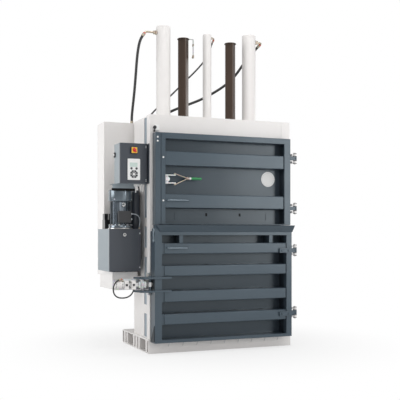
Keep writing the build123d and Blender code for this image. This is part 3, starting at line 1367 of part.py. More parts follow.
def limit_switch():
    """The limit switch housing on the left post, with its lever axle."""
    x, bottom, axle_y, axle_z = limit_switch_places()
    body = block(x, (front - LIMIT_SWITCH_DEPTH, front), (bottom, bottom + LIMIT_SWITCH_HEIGHT))
    body = fillet(body.faces().sort_by(Axis.Y)[0].edges(), 3)
    return body + along_x(LIMIT_AXLE_RADIUS, (x[0] - LIMIT_AXLE_LENGTH, x[0] + 1), axle_y, axle_z)


def limit_switch_lever():
    """The sprung lever with its roller."""
    x, _, axle_y, axle_z = limit_switch_places()
    lever_x = (x[0] - LIMIT_GAP - LIMIT_LEVER_THICKNESS, x[0] - LIMIT_GAP)
    roller_z = axle_z - LIMIT_LEVER_LENGTH
    body = block(lever_x, about(axle_y, LIMIT_LEVER_WIDTH / 2), (roller_z, axle_z))
    body += along_x(LIMIT_LEVER_WIDTH / 2, lever_x, axle_y, axle_z)
    body += along_x(LIMIT_ROLLER_RADIUS, (lever_x[0] - 5, lever_x[1]), axle_y, roller_z)
    return body - along_x(LIMIT_AXLE_RADIUS + HINGE_PIN_GAP, (lever_x[0] - 1, lever_x[1] + 1), axle_y, axle_z)


def elbow_fitting(port, elbow, end, radius):
    """A port stub with its nut, an elbow and the sleeve that meets a hose's end."""
    body = along(radius, port, elbow) + Pos(*elbow) * Sphere(radius) + along(radius, elbow, end)
    towards = (Vector(*elbow) - Vector(*port)).normalized()
    nut_start = Vector(*port) + towards * PORT_GAP
    nut_end = nut_start + towards * NUT_LENGTH
    return body + along(radius + NUT_WALL, tuple(nut_start), tuple(nut_end))


def hose_fittings():
    """The ports, elbows, nuts and sleeves that the hoses and the cable end in."""
    sleeve = HOSE_RADIUS + SLEEVE_WALL
    centre_sleeve = CENTRE_HOSE_RADIUS + SLEEVE_WALL
    lock_sleeve = LOCK_HOSE_RADIUS + SLEEVE_WALL
    half = CYLINDER_PITCH / 2
    left_port = (-half - CYLINDER_RADIUS, ram_y, LEFT_ELBOW[2])
    centre_port = (CENTRE_CYLINDER_RADIUS, ram_y, CENTRE_ELBOW[2])
    right_port = (half + CYLINDER_RADIUS, ram_y, RIGHT_ELBOW[2])
    pieces = [
        elbow_fitting(left_port, LEFT_ELBOW, LEFT_HOSE[0], sleeve),
        elbow_fitting(centre_port, CENTRE_ELBOW, CENTRE_HOSE[0], centre_sleeve),
        elbow_fitting(right_port, RIGHT_ELBOW, RIGHT_HOSE[0], sleeve),
    ]
    for hose, radius in ((CENTRE_HOSE, centre_sleeve), (RIGHT_HOSE, sleeve)):
        x, y, z = hose[-1]
        level = z - ELBOW_DROP
        duct_end = elbow_fitting((duct_right, y, level), (x, y, level), hose[-1], radius)
        pieces.append(duct_end + along_x(radius, (duct_right - DUCT_STUB, duct_right), y, level))
    x, y, z = LEFT_HOSE[-1]
    top_end = upright(sleeve, x, y, (FRAME_HEIGHT - DUCT_STUB, z))
    pieces.append(top_end + upright(sleeve + NUT_WALL, x, y, (FRAME_HEIGHT, FRAME_HEIGHT + NUT_WALL)))
    lock_port = (LOCK_ELBOW[0], lock_y, LOCK_LEVEL + LOCK_CYLINDER_RADIUS)
    lock_end = along(lock_sleeve, lock_port, LOCK_ELBOW) + Pos(*LOCK_ELBOW) * Sphere(lock_sleeve)
    pieces.append(lock_end + along(lock_sleeve, LOCK_ELBOW, LOCK_HOSE[0]))
    x, y, z = LOCK_HOSE[-1]
    pieces.append(along_y(lock_sleeve, x, (y, beam_front), z))
    x, y, z = MOTOR_CABLE[-1]
    pieces.append(upright(GROMMET_RADIUS, x, y, (tank_top, z)))
    return pieces


# Hose runs: X, how far behind the port's Y, and the drop below the port
LEFT_ELBOW_X = -608
CENTRE_ELBOW_X = 74
RIGHT_ELBOW_X = 572
LEFT_PORT_DROP = 60
CENTRE_PORT_DROP = 28
RIGHT_PORT_DROP = 56
LEFT_HOSE_END = 22
CENTRE_HOSE_END = -168
RIGHT_HOSE_END = -300
LEFT_RUN = (
    (-625, 0, 24),
    (-646, 0, 53.6),
    (-663, 5, 96),
    (-673, 14, 150),
    (-677, 34, 218),
    (-675, 66, 300),
    (-670, 106, 392),
    (-664, 152, 482),
    (-659, 198, 566),
    (-656, 235, 634),
    (-655, 258, 684),
    (-655, 271, 722),
    (-655, 278, 756),
    (-655, 278, 788),
)
CENTRE_RUN = (
    (74, 26, 16),
    (74, 58.5, 36),
    (72, 85, 70),
    (62, 106, 114),
    (38, 126, 170),
    (-4, 150, 231),
    (-66, 182, 304),
    (-142, 227, 384),
    (-222, 268, 474),
    (-304, 316, 560),
    (-380, 366, 636),
    (-446, 402, 716),
    (-500, 408, 794),
    (-534, 401, 870),
    (-552, 392, 932),
    (-552, 392, 978),
)
RIGHT_RUN = (
    (562, 22, 16),
    (546, 57.2, 41.6),
    (518, 88, 82),
    (482, 120, 134),
    (440, 152, 196),
    (386, 184, 288),
    (300, 222, 382),
    (180, 262, 466),
    (48, 294, 540),
    (-90, 326, 596),
    (-220, 366, 650),
    (-330, 410, 712),
    (-424, 442, 788),
    (-490, 450, 884),
    (-524, 446, 980),
    (-534, 439, 1058),
    (-534, 439, 1114),
)
# The lock hose's run: X, how far behind the lock, and the rise above it
LOCK_ELBOW_X = -948
LOCK_ELBOW_RISE = 50
LOCK_RUN = (
    (-963, -6.5, 47),
    (-993, -19.5, 41),
    (-1018, -33, 21),
    (-1035, -39, -9),
    (-1037, -37, -46),
    (-1023, -27, -80),
    (-992, -11, -104),
    (-946, 12, -113),
    (-894, 44, -112),
    (-850, 86, -100),
    (-816, 130, -80),
    (-792, 178, -58),
    (-775, 228, -34),
    (-767, 272, -16),
    (-765, 304, -4),
    (-765, 330, -4),
)


def hose_route(run, top, end):
    """A hose's points, with the run's drops stretched to the fall from its port to its end."""
    stretch = (top - end) / run[-1][2]
    return tuple((x, ram_y + behind, top - drop * stretch) for x, behind, drop in run)


left_port_level = FRAME_HEIGHT + CYLINDER_HEIGHT - LEFT_PORT_DROP
centre_port_level = FRAME_HEIGHT + CENTRE_CYLINDER_HEIGHT - CENTRE_PORT_DROP
right_port_level = FRAME_HEIGHT + CYLINDER_HEIGHT - RIGHT_PORT_DROP
LEFT_ELBOW = (LEFT_ELBOW_X, ram_y, left_port_level)
CENTRE_ELBOW = (CENTRE_ELBOW_X, ram_y, centre_port_level)
RIGHT_ELBOW = (RIGHT_ELBOW_X, ram_y, right_port_level)
LEFT_HOSE = hose_route(LEFT_RUN, left_port_level, FRAME_HEIGHT + LEFT_HOSE_END)
CENTRE_HOSE = hose_route(CENTRE_RUN, centre_port_level, FRAME_HEIGHT + CENTRE_HOSE_END)
RIGHT_HOSE = hose_route(RIGHT_RUN, right_port_level, FRAME_HEIGHT + RIGHT_HOSE_END)
LOCK_ELBOW = (LOCK_ELBOW_X, lock_y, LOCK_LEVEL + LOCK_ELBOW_RISE)
LOCK_HOSE = tuple((x, lock_y + behind, LOCK_LEVEL + rise) for x, behind, rise in LOCK_RUN)
MOTOR_CABLE = (
    (-794, -227, 1216.25),
    (-768, -227, 1216.25),
    (-740, -226, 1204),
    (-722, -221, 1183),
    (-715, -213, 1154),
    (-717, -195, 1124),
    (-717, -195, 1096),
)


def main():
    """Build every node and write it."""
    os.makedirs("parts", exist_ok=True)
    save("base_frame", base_frame())
    save("chamber_floor", chamber_floor())
    save("front_posts", front_post(-1), front_post(1))
    save("side_columns", side_column(-1), side_column(1))
    save("chamber_walls", chamber_side_wall(-1), chamber_side_wall(1), chamber_rear_wall())
    save("rear_ribs", *[rear_rib(x) for x in (-REAR_RIB_PITCH, 0, REAR_RIB_PITCH)])
    save("head_frame", head_frame())
    save("guide_bushes", *[guide_bush(x) for x in guide_places()])
    half = CYLINDER_PITCH / 2
    big = (CYLINDER_RADIUS, CYLINDER_BORE_RADIUS, ROD_RADIUS, CYLINDER_HEIGHT)
    small = (CENTRE_CYLINDER_RADIUS, CENTRE_BORE_RADIUS, CENTRE_ROD_RADIUS, CENTRE_CYLINDER_HEIGHT)
    save("left_cylinder", cylinder(-half, *big))
    save("centre_cylinder", cylinder(0, *small))
    save("right_cylinder", cylinder(half, *big))
    save(
        "piston_rods",
        piston_rod(-half, CYLINDER_BORE_RADIUS, ROD_RADIUS),
        piston_rod(0, CENTRE_BORE_RADIUS, CENTRE_ROD_RADIUS),
        piston_rod(half, CYLINDER_BORE_RADIUS, ROD_RADIUS),
    )
    save("guide_posts", *[guide_post(x) for x in guide_places()])
    save("press_platen", press_platen())
    save("switch_strip", switch_strip())
    save("ejector_plate", ejector_plate())
    save("door_jamb", door_jamb())
    hinges = [(level, LOADING_LEAF_HEIGHT) for level in LOADING_HINGES]
    hinges += [(level, BALE_LEAF_HEIGHT) for level in BALE_HINGES]
    knuckles = [knuckle for hinge in hinges for knuckle in hinge_knuckles(*hinge)]
    pins = [hinge_pin(*hinge) for hinge in hinges]
    save("door_hinges", *knuckles, *pins)
    save("loading_door", loading_door())
    save("loading_hinge_leaves", *loading_hinge_leaves())
    save("loading_handle", bent_handle(LOADING_HANDLE_X, loading_front + RIB_SET_BACK, LOADING_HANDLE_LEVEL))
    save("latch_bracket", latch_bracket())
    save("latch_lever", latch_lever())
    save("latch_grip", latch_grip())
    save("bale_door", bale_door())
    save("bale_hinge_leaves", *bale_hinge_leaves())
    save("bale_handle", bent_handle(BALE_HANDLE_X, bale_front + RIB_SET_BACK, BALE_HANDLE_LEVEL))
    save("lock_straps", lock_straps())
    save("lock_bracket", lock_bracket())
    save("lock_cylinder", lock_cylinder())
    save("lock_bolt", lock_bolt())
    save("service_duct", service_duct())
    save("tank_beam", tank_beam())
    save("oil_tank", oil_tank())
    save("tank_front_panel", tank_front_panel())
    save("motor_body", motor_body())
    save("fan_cover", fan_cover())
    save("motor_fan", motor_fan())
    save("terminal_box", terminal_box())
    save("return_filter", return_filter())
    save("valve_block", valve_block())
    save("motor_guard", motor_guard())
    save("cabinet_bracket", cabinet_bracket())
    save("cabinet_body", cabinet_body())
    save("control_gear", control_gear())
    save("cabinet_door", cabinet_door())
    save("main_switch_base", main_switch_base())
    save("main_switch_handle", main_switch_handle())
    save("control_panel", control_panel())
    for name, x in zip(("left_panel_button", "right_panel_button"), button_places()):
        save(name, panel_button(x))
    save("cabinet_lock", cabinet_lock())
    save("limit_switch", limit_switch())
    save("limit_switch_lever", limit_switch_lever())
    save("hose_fittings", *hose_fittings())
    save("left_cylinder_hose", tube(LEFT_HOSE, HOSE_RADIUS, "left_cylinder_hose"))
    save("centre_cylinder_hose", tube(CENTRE_HOSE, CENTRE_HOSE_RADIUS, "centre_cylinder_hose"))
    save("right_cylinder_hose", tube(RIGHT_HOSE, HOSE_RADIUS, "right_cylinder_hose"))
    save("lock_hose", tube(LOCK_HOSE, LOCK_HOSE_RADIUS, "lock_hose"))
    save("motor_cable", tube(MOTOR_CABLE, MOTOR_CABLE_RADIUS, "motor_cable"))


main()
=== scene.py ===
"""The looks of an upright recycling baler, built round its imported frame.

Lengths are in millimetres in the frame's own axes until a piece is finished: the doors face -Y, the power
pack stands at -X and the floor is at Z = 0.
"""

import logging
import math
from dataclasses import dataclass, field
from enum import Enum

import bmesh
import bpy
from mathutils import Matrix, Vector


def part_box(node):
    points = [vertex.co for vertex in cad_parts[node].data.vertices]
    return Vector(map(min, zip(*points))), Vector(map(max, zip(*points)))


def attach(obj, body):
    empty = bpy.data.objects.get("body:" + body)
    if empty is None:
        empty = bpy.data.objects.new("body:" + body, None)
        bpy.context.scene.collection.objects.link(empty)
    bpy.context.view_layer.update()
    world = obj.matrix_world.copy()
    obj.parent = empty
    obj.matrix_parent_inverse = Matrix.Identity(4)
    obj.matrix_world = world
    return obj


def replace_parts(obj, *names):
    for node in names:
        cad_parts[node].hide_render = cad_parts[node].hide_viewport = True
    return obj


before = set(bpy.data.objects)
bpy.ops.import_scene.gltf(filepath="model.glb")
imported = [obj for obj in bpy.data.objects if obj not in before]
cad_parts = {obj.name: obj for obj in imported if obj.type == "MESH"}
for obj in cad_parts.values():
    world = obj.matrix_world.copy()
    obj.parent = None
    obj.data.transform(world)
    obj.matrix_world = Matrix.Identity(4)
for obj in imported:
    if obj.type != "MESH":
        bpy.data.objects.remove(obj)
log = logging.getLogger("baler")
MILLIMETRE = 0.001
Point = tuple[float, float, float]
Colour = tuple[float, float, float]
Span = tuple[float, float]
Outline = list[Span] | tuple[Span, ...]
Socket = bpy.types.NodeSocket
Value = Socket | bpy.types.Material | float | str | tuple[float, ...]


def mm(*values: float) -> tuple[float, ...]:
    """Millimetres as metres."""
    return tuple(value * MILLIMETRE for value in values)


def tone(*levels: int) -> Colour:
    """A display colour of 0 to 255 per channel as a linear colour."""
    shares = [level / 255 for level in levels]
    return tuple(share / 12.92 if share <= 0.04045 else ((share + 0.055) / 1.055) ** 2.4 for share in shares)


def about(centre: float, half: float) -> Span:
    """The two limits at a half width on both sides of a centre."""
    return centre - half, centre + half


def polar(centre: Span, radius: float, angle: float) -> Span:
    """The place at a radius and an angle, in radians, round a centre."""
    return centre[0] + radius * math.cos(angle), centre[1] + radius * math.sin(angle)


def bolt_circle(centre: Span, radius: float, level: float) -> list[Point]:
    """The seats of eight bolts round a vertical axis."""
    return [(*polar(centre, radius, math.radians(22.5 + 45 * index)), level) for index in range(8)]


def placed(name: str, data: bpy.types.ID) -> bpy.types.Object:
    """Adds a new object to the scene.

    Args:
        name: Its name.
        data: Its mesh, curve, lamp or camera.

    Returns:
        The object.
    """
    made = bpy.data.objects.new(name, data)
    bpy.context.scene.collection.objects.link(made)
    return made


# The directions that fasteners face
FRONT = (0.0, -1.0, 0.0)
LEFT = (-1.0, 0.0, 0.0)
UP = (0.0, 0.0, 1.0)
WASHER_SIDES = 24
# The angles between faces, in radians, above which shading breaks and above which an edge is eased
SHARP_ANGLE = math.radians(35)
EASED_ANGLE = math.radians(40)
PURE_WHITE = (1.0, 1.0, 1.0, 1.0)
FLOOR_GREY = (0.82, 0.82, 0.82, 1.0)
# Where the doors' ribs and skins lie along Y, and where their recesses end along X, in metres: the bounds of
# the painted shade in the recesses
RIB_FACE = -0.47
SKIN_FACE = -0.378
RECESS_END = 0.591
# The colour of the painted shade in the doors' recesses
PAINTED_RECESS_SHADE = (*tone(30, 38, 48), 1.0)
# How near to the right end of the recesses counts as their end wall, in metres, and how much more painted shade
# that wall gets
END_REACH = 0.0015
END_WALL_SHADE_GAIN = 6.0
# How far a finish's roughness wanders, how deep its relief is in metres and how rough its clear coat is
GLOSS_SPREAD = 0.07
RELIEF_DEPTH = 0.0006
COAT_ROUGHNESS = 0.18
# How much of a metal's grain shows in its colour, and where grime starts and is full with its darkness
GRAIN_SHARE = 0.22
GRIME_LEVELS = (0.52, 0.75)
GRIME_SHADE = 0.55
# The eased edge of a screw as a share of its head
HEAD_EASE = 0.18


class Axis(Enum):
    """A row axis that a shape lies along, with which of place's values its X, Y and Z are."""

    X = (2, 0, 1)
    Y = (0, 2, 1)
    Z = (0, 1, 2)

    def place(self, *values: float) -> Point:
        """A point from its two places in the section, in row order, and its place along the axis."""
        return tuple(values[index] for index in self.value)


class Grain(Enum):
    """How a finish breaks up under the light: its noise scale and its stretch along X, Y and Z."""

    ORANGE_PEEL = (420.0, (1.0, 1.0, 1.0))
    FINE_TEXTURE = (900.0, (1.0, 1.0, 1.0))
    BRUSHED = (60.0, (1.0, 1.0, 22.0))
    SPANGLED = (90.0, (1.0, 1.0, 1.001))
    CAST = (260.0, (1.0, 1.0, 1.0))
    MOULDED = (700.0, (1.0, 1.0, 1.0))
    BRAIDED = (1500.0, (1.0, 1.0, 0.3))


@dataclass(frozen=True)
class Nodes:
    """A node tree under construction."""

    tree: bpy.types.NodeTree

    def feed(self, node: bpy.types.Node, inputs: dict[str | int, Value]) -> bpy.types.Node:
        """Sets a node's sockets.

        Args:
            node: The node.
            inputs: Each socket's own value or the output that feeds it, by the socket's name or number.

        Returns:
            The node itself.
        """
        for name, value in inputs.items():
            if isinstance(value, Socket):
                self.tree.links.new(value, node.inputs[name])
            else:
                node.inputs[name].default_value = value
        return node

    def add(self, kind: str, inputs: dict[str | int, Value], **settings: str | bool) -> bpy.types.Node:
        """Adds one node.

        Args:
            kind: Its type.
            inputs: Its sockets, as feed takes them.
            settings: The node's own settings.

        Returns:
            The node.
        """
        node = self.tree.nodes.new(kind)
        for name, value in settings.items():
            setattr(node, name, value)
        return self.feed(node, inputs)

    def place(self) -> Socket:
        """The Object coordinates."""
        return self.add("ShaderNodeTexCoord", {}).outputs["Object"]

    def noise(self, place: Socket, scale: float, detail: float, roughness: float = 0.5) -> Socket:
        """The value of a noise texture at a place."""
        inputs = {"Vector": place, "Scale": scale, "Detail": detail, "Roughness": roughness}
        return self.add("ShaderNodeTexNoise", inputs).outputs["Fac"]

    def ramp(self, value: Socket, given: Span, wanted: Span, **settings: str) -> Socket:
        """A value of one range as the same share of another range."""
        limits = dict(zip(("From Min", "From Max", "To Min", "To Max"), (*given, *wanted)))
        return self.add("ShaderNodeMapRange", {"Value": value, **limits}, **settings).outputs["Result"]

    def maths(self, operation: str, *values: Value, **settings: bool) -> Socket:
        """What a Math node makes of its values."""
        return self.add("ShaderNodeMath", dict(enumerate(values)), operation=operation, **settings).outputs[0]

    def blend(self, share: Value, under: Value, over: Value, kind: str = "MIX") -> Socket:
        """One colour over another by a share."""
        mix = self.add("ShaderNodeMix", {0: share, 6: under, 7: over}, data_type="RGBA", blend_type=kind)
        return mix.outputs[2]

    def seen(self) -> Socket:
        """Whether the camera sees the surface directly."""
        return self.add("ShaderNodeLightPath", {}).outputs["Is Camera Ray"]

    def end(self, share: Socket, lit: Socket, shown: Socket, output: str) -> None:
        """Ends a shader tree by mixing two shaders into the named output node."""
        mix = self.add("ShaderNodeMixShader", {0: share, 1: lit, 2: shown})
        self.feed(self.tree.nodes[output], {"Surface": mix.outputs[0]})


@dataclass(frozen=True)
class Finish:
    """One surface finish: its colour, its gloss and the small relief that it shows."""

    name: str
    slot: str
    colour: Colour
    grain: Grain
    roughness: float
    metallic: float = 0.0
    mottle: float = 0.04
    relief: float = 0.1
    coat: float = 0.0
    grime: float = 0.0
    wave: float = 0.0
    # How much painted shade darkens the recesses behind a door's ribs
    recess_shade: float = 0.0
    gloss: Colour = (1.0, 1.0, 1.0)

    def material(self) -> bpy.types.Material:
        """The finish as a material, made once and shared after that.

        Returns:
            A node material that reads Object coordinates.
        """
        made = bpy.data.materials.get(self.name)
        if made:
            return made
        made = bpy.data.materials.new(self.name)
        made.use_nodes = True
        made.diffuse_color = (*self.colour, 1.0)
        nodes = Nodes(made.node_tree)
        place = nodes.place()
        broad = nodes.noise(place, scale=5.0, detail=5.0)
        fine = self.fine_grain(nodes, place)
        colour = nodes.blend(broad, self.shaded(1 - 2 * self.mottle), self.shaded(1 + self.mottle))
        if self.grain in (Grain.SPANGLED, Grain.BRUSHED):
            colour = nodes.blend(GRAIN_SHARE, colour, fine, "MULTIPLY")
        if self.grime:
            marks = nodes.noise(place, scale=17.0, detail=8.0, roughness=0.7)
            patches = nodes.ramp(marks, GRIME_LEVELS, (0.0, self.grime))
            colour = nodes.blend(patches, colour, self.shaded(GRIME_SHADE))
        # Painted shade: darker towards the back of the doors' recesses, darkest on their right end wall
        if self.recess_shade:
            colour = nodes.blend(self.painted_shade_share(nodes, place), colour, PAINTED_RECESS_SHADE)
        relief = {"Height": fine, "Strength": self.relief, "Distance": RELIEF_DEPTH}
        if self.wave:
            slow = nodes.noise(place, scale=3.2, detail=1.0)
            bend = {"Height": slow, "Strength": 1.0, "Distance": self.wave}
            relief["Normal"] = nodes.add("ShaderNodeBump", bend).outputs["Normal"]
        rough = max(0.03, self.roughness - GLOSS_SPREAD), min(1.0, self.roughness + GLOSS_SPREAD)
        nodes.feed(made.node_tree.nodes["Principled BSDF"], {
            "Base Color": colour,
            "Metallic": self.metallic,
            "Roughness": nodes.ramp(broad, (0.0, 1.0), rough),
            "Coat Weight": self.coat,
            "Coat Roughness": COAT_ROUGHNESS,
            "Specular Tint": (*self.gloss, 1.0),
            "Normal": nodes.add("ShaderNodeBump", relief).outputs["Normal"],
        })
        return made

    def shaded(self, factor: float) -> tuple[float, ...]:
        """The colour made darker or lighter by a factor."""
        return *(min(1.0, channel * factor) for channel in self.colour), 1.0

    def fine_grain(self, nodes: Nodes, place: Socket) -> Socket:
        """The fine pattern of the surface: spangles or noise.

        Args:
            nodes: The material's tree.
            place: The Object coordinates.

        Returns:
            The pattern's value.
        """
        scale, stretch = self.grain.value
        stretched = nodes.add("ShaderNodeMapping", {"Vector": place, "Scale": stretch}).outputs["Vector"]
        if self.grain is Grain.SPANGLED:
            return nodes.add("ShaderNodeTexVoronoi", {"Vector": stretched, "Scale": scale}).outputs["Color"]
        return nodes.noise(stretched, scale, detail=3.0)

    def painted_shade_share(self, nodes: Nodes, place: Socket) -> Socket:
        """How far painted shade darkens the skins behind a door's ribs, and more the wall at their right end.

        Args:
            nodes: The material's tree.
            place: The Object coordinates.

        Returns:
            The share of the dark colour.
        """
        parts = nodes.add("ShaderNodeSeparateXYZ", {0: place}).outputs
        depth = nodes.ramp(parts["Y"], (RIB_FACE, SKIN_FACE), (0.0, self.recess_shade))
        at_end = nodes.maths("COMPARE", parts["X"], RECESS_END, END_REACH)
        gain = nodes.maths("MULTIPLY_ADD", at_end, END_WALL_SHADE_GAIN, 1.0)
        return nodes.maths("MULTIPLY", depth, gain, use_clamp=True)


WHITE = Finish(
    "white_coat", "white_paint", tone(233, 230, 228), Grain.ORANGE_PEEL, 0.36,
    relief=0.06, mottle=0.01, coat=0.3, grime=0.05, wave=0.0008,
)
# The doors' blue-grey paint, with painted shade in the recesses behind the ribs
DOOR = Finish(
    "door_coat", "blue_grey_paint", tone(64, 76, 86), Grain.ORANGE_PEEL, 0.33,
    relief=0.08, coat=0.22, grime=0.18, wave=0.0035, recess_shade=0.66, gloss=(0.8, 0.93, 1.0),
)
# The doors' blue-grey paint made darker as painted shade: on the stitch welds for the dark slots beside them,
# on the hinge rings for the gaps round the knuckles, and on the side wedge
SEAM_SHADE = Finish("seam_painted_shade", "blue_grey_paint", tone(34, 43, 50), Grain.CAST, 0.55, relief=0.2, mottle=0.08)
# The doors' blue-grey paint made lighter for the handles and the side hook: a painted highlight
HIGHLIGHT_BAR = Finish(
    "handle_painted_highlight", "blue_grey_paint", tone(116, 130, 140), Grain.ORANGE_PEEL, 0.24,
    metallic=0.4, relief=0.04, coat=0.8,
)
DARK = Finish(
    "dark_coat", "dark_grey_paint", tone(58, 64, 73), Grain.FINE_TEXTURE, 0.42,
    mottle=0.03, coat=0.2, wave=0.001,
)
LIGHT = Finish(
    "light_grey_coat", "light_grey_paint", tone(139, 150, 157), Grain.FINE_TEXTURE, 0.42,
    mottle=0.015, coat=0.1, wave=0.001,
)
SLOT_BLUE = Finish(
    "column_lining", "light_grey_paint", tone(150, 162, 172), Grain.FINE_TEXTURE, 0.5, mottle=0.02,
)
BROWN = Finish(
    "guide_coat", "dark_brown_paint", tone(80, 62, 50), Grain.BRUSHED, 0.34,
    metallic=0.35, relief=0.08, mottle=0.12, coat=0.35,
)
BLACK = Finish("black_coat", "black_paint", tone(27, 28, 30), Grain.FINE_TEXTURE, 0.3, relief=0.08, coat=0.3)
STEEL = Finish(
    "machined_steel", "galvanised_steel", (0.60, 0.60, 0.59), Grain.BRUSHED, 0.26, metallic=1.0, relief=0.06,
)
ZINC = Finish(
    "zinc_plate", "galvanised_steel", (0.72, 0.73, 0.75), Grain.SPANGLED, 0.34,
    metallic=0.7, relief=0.05, coat=0.1,
)
TAN_ZINC = Finish(
    "passivated_zinc", "galvanised_steel", (0.55, 0.47, 0.38), Grain.SPANGLED, 0.36, metallic=0.7, relief=0.05,
)
BRIGHT = Finish(
    "bright_steel", "galvanised_steel", (0.88, 0.88, 0.87), Grain.BRUSHED, 0.32,
    metallic=0.2, relief=0.05, coat=0.3,
)
CHROME = Finish(
    "hard_chrome", "hard_chrome", (0.72, 0.73, 0.74), Grain.BRUSHED, 0.08, metallic=1.0, relief=0.02,
)
MOTOR = Finish(
    "motor_coat", "motor_grey", tone(108, 118, 127), Grain.CAST, 0.17,
    metallic=0.8, relief=0.12, mottle=0.06, coat=0.8,
)
FAN_COVER = Finish(
    "fan_cover_coat", "motor_grey", tone(106, 118, 127), Grain.FINE_TEXTURE, 0.2,
    metallic=0.6, relief=0.08, coat=0.7, wave=0.001,
)
LID = Finish("terminal_lid", "motor_grey", tone(46, 47, 50), Grain.MOULDED, 0.45)
GREEN = Finish("green_grip", "green_plastic", tone(48, 140, 82), Grain.MOULDED, 0.36, coat=0.2)
WHITE_PLASTIC = Finish(
    "white_plastic", "white_plastic", tone(245, 244, 242), Grain.MOULDED, 0.35, relief=0.05, mottle=0.01,
)
BLACK_PLASTIC = Finish("black_plastic", "black_plastic", tone(30, 31, 33), Grain.MOULDED, 0.36, relief=0.08)
# Near-black patches that paint the shade inside holes and gaps
HOLE_SHADE = Finish("painted_hole_shade", "black_plastic", tone(6, 6, 7), Grain.MOULDED, 0.95, relief=0.02)
KEY_GREY = Finish("key_grey", "black_plastic", tone(16, 22, 34), Grain.MOULDED, 0.4, relief=0.05)
RED = Finish("red_plastic", "red_plastic", tone(170, 30, 38), Grain.MOULDED, 0.25, relief=0.04, coat=0.3)
RED_RING = Finish("red_ring", "red_plastic", tone(214, 66, 46), Grain.MOULDED, 0.35, relief=0.04)
YELLOW = Finish("yellow_plastic", "white_plastic", tone(246, 196, 60), Grain.MOULDED, 0.35, relief=0.04)
SCREEN = Finish(
    "screen_glass", "white_plastic", tone(206, 222, 216), Grain.MOULDED, 0.2, relief=0.01, mottle=0.03,
)
PALE_GREY = Finish("pale_print", "white_plastic", tone(190, 192, 194), Grain.MOULDED, 0.45, relief=0.02)
RUBBER = Finish("hose_rubber", "hose_rubber", tone(7, 7, 8), Grain.BRAIDED, 0.8, relief=0.3)
LEAD = Finish("lead_sheath", "hose_rubber", tone(150, 158, 164), Grain.MOULDED, 0.4, relief=0.05)
WORN = Finish(
    "worn_floor", "dark_grey_paint", (0.16, 0.17, 0.18), Grain.BRUSHED, 0.42,
    metallic=0.6, relief=0.2, mottle=0.15,
)

NODE_FINISHES = {
    WHITE: (
        "base_frame", "front_posts", "side_columns", "chamber_walls", "rear_ribs", "head_frame",
        "guide_bushes", "left_cylinder", "centre_cylinder", "right_cylinder", "service_duct", "tank_beam",
        "lock_cylinder", "door_hinges",
    ),
    DOOR: (
        "door_jamb", "loading_door", "bale_door", "loading_hinge_leaves", "bale_hinge_leaves", "lock_straps",
    ),
    HIGHLIGHT_BAR: ("loading_handle", "bale_handle"),
    DARK: ("tank_front_panel", "cabinet_door", "cabinet_bracket", "return_filter"),
    LIGHT: ("oil_tank", "cabinet_body", "motor_guard"),
    BROWN: ("guide_posts",),
    BLACK: ("valve_block",),
    BRIGHT: ("cabinet_lock", "lock_bolt"),
    ZINC: ("latch_bracket", "lock_bracket", "switch_strip", "control_gear"),
    TAN_ZINC: ("latch_lever",),
    CHROME: ("piston_rods",),
    MOTOR: ("motor_body",),
    LID: ("terminal_box",),
    FAN_COVER: ("fan_cover",),
    GREEN: ("latch_grip",),
    WHITE_PLASTIC: ("control_panel", "limit_switch"),
    BLACK_PLASTIC: (
        "main_switch_base", "motor_fan", "limit_switch_lever", "left_panel_button", "right_panel_button",
    ),
    RED: ("main_switch_handle",),
    WORN: ("chamber_floor", "ejector_plate", "press_platen"),
}
# The width of the eased edge, in millimetres, where it isn't that of sheet work
NODE_EDGES = {"loading_door": 5.0, "bale_door": 5.0, "door_jamb": 3.0, "cabinet_door": 2.5, "oil_tank": 2.0}
SHEET_EDGE = 1.4
# How near two vertices of a frame node are welded together, in metres
WELD_REACH = 0.00002


def ease(made: bpy.types.Object, edge: float) -> None:
    """Rounds an object's sharp edges by a width in millimetres."""
    bevel = made.modifiers.new("eased_edges", "BEVEL")
    bevel.width = edge * MILLIMETRE
    bevel.segments = 2
    bevel.limit_method = "ANGLE"
    bevel.angle_limit = EASED_ANGLE


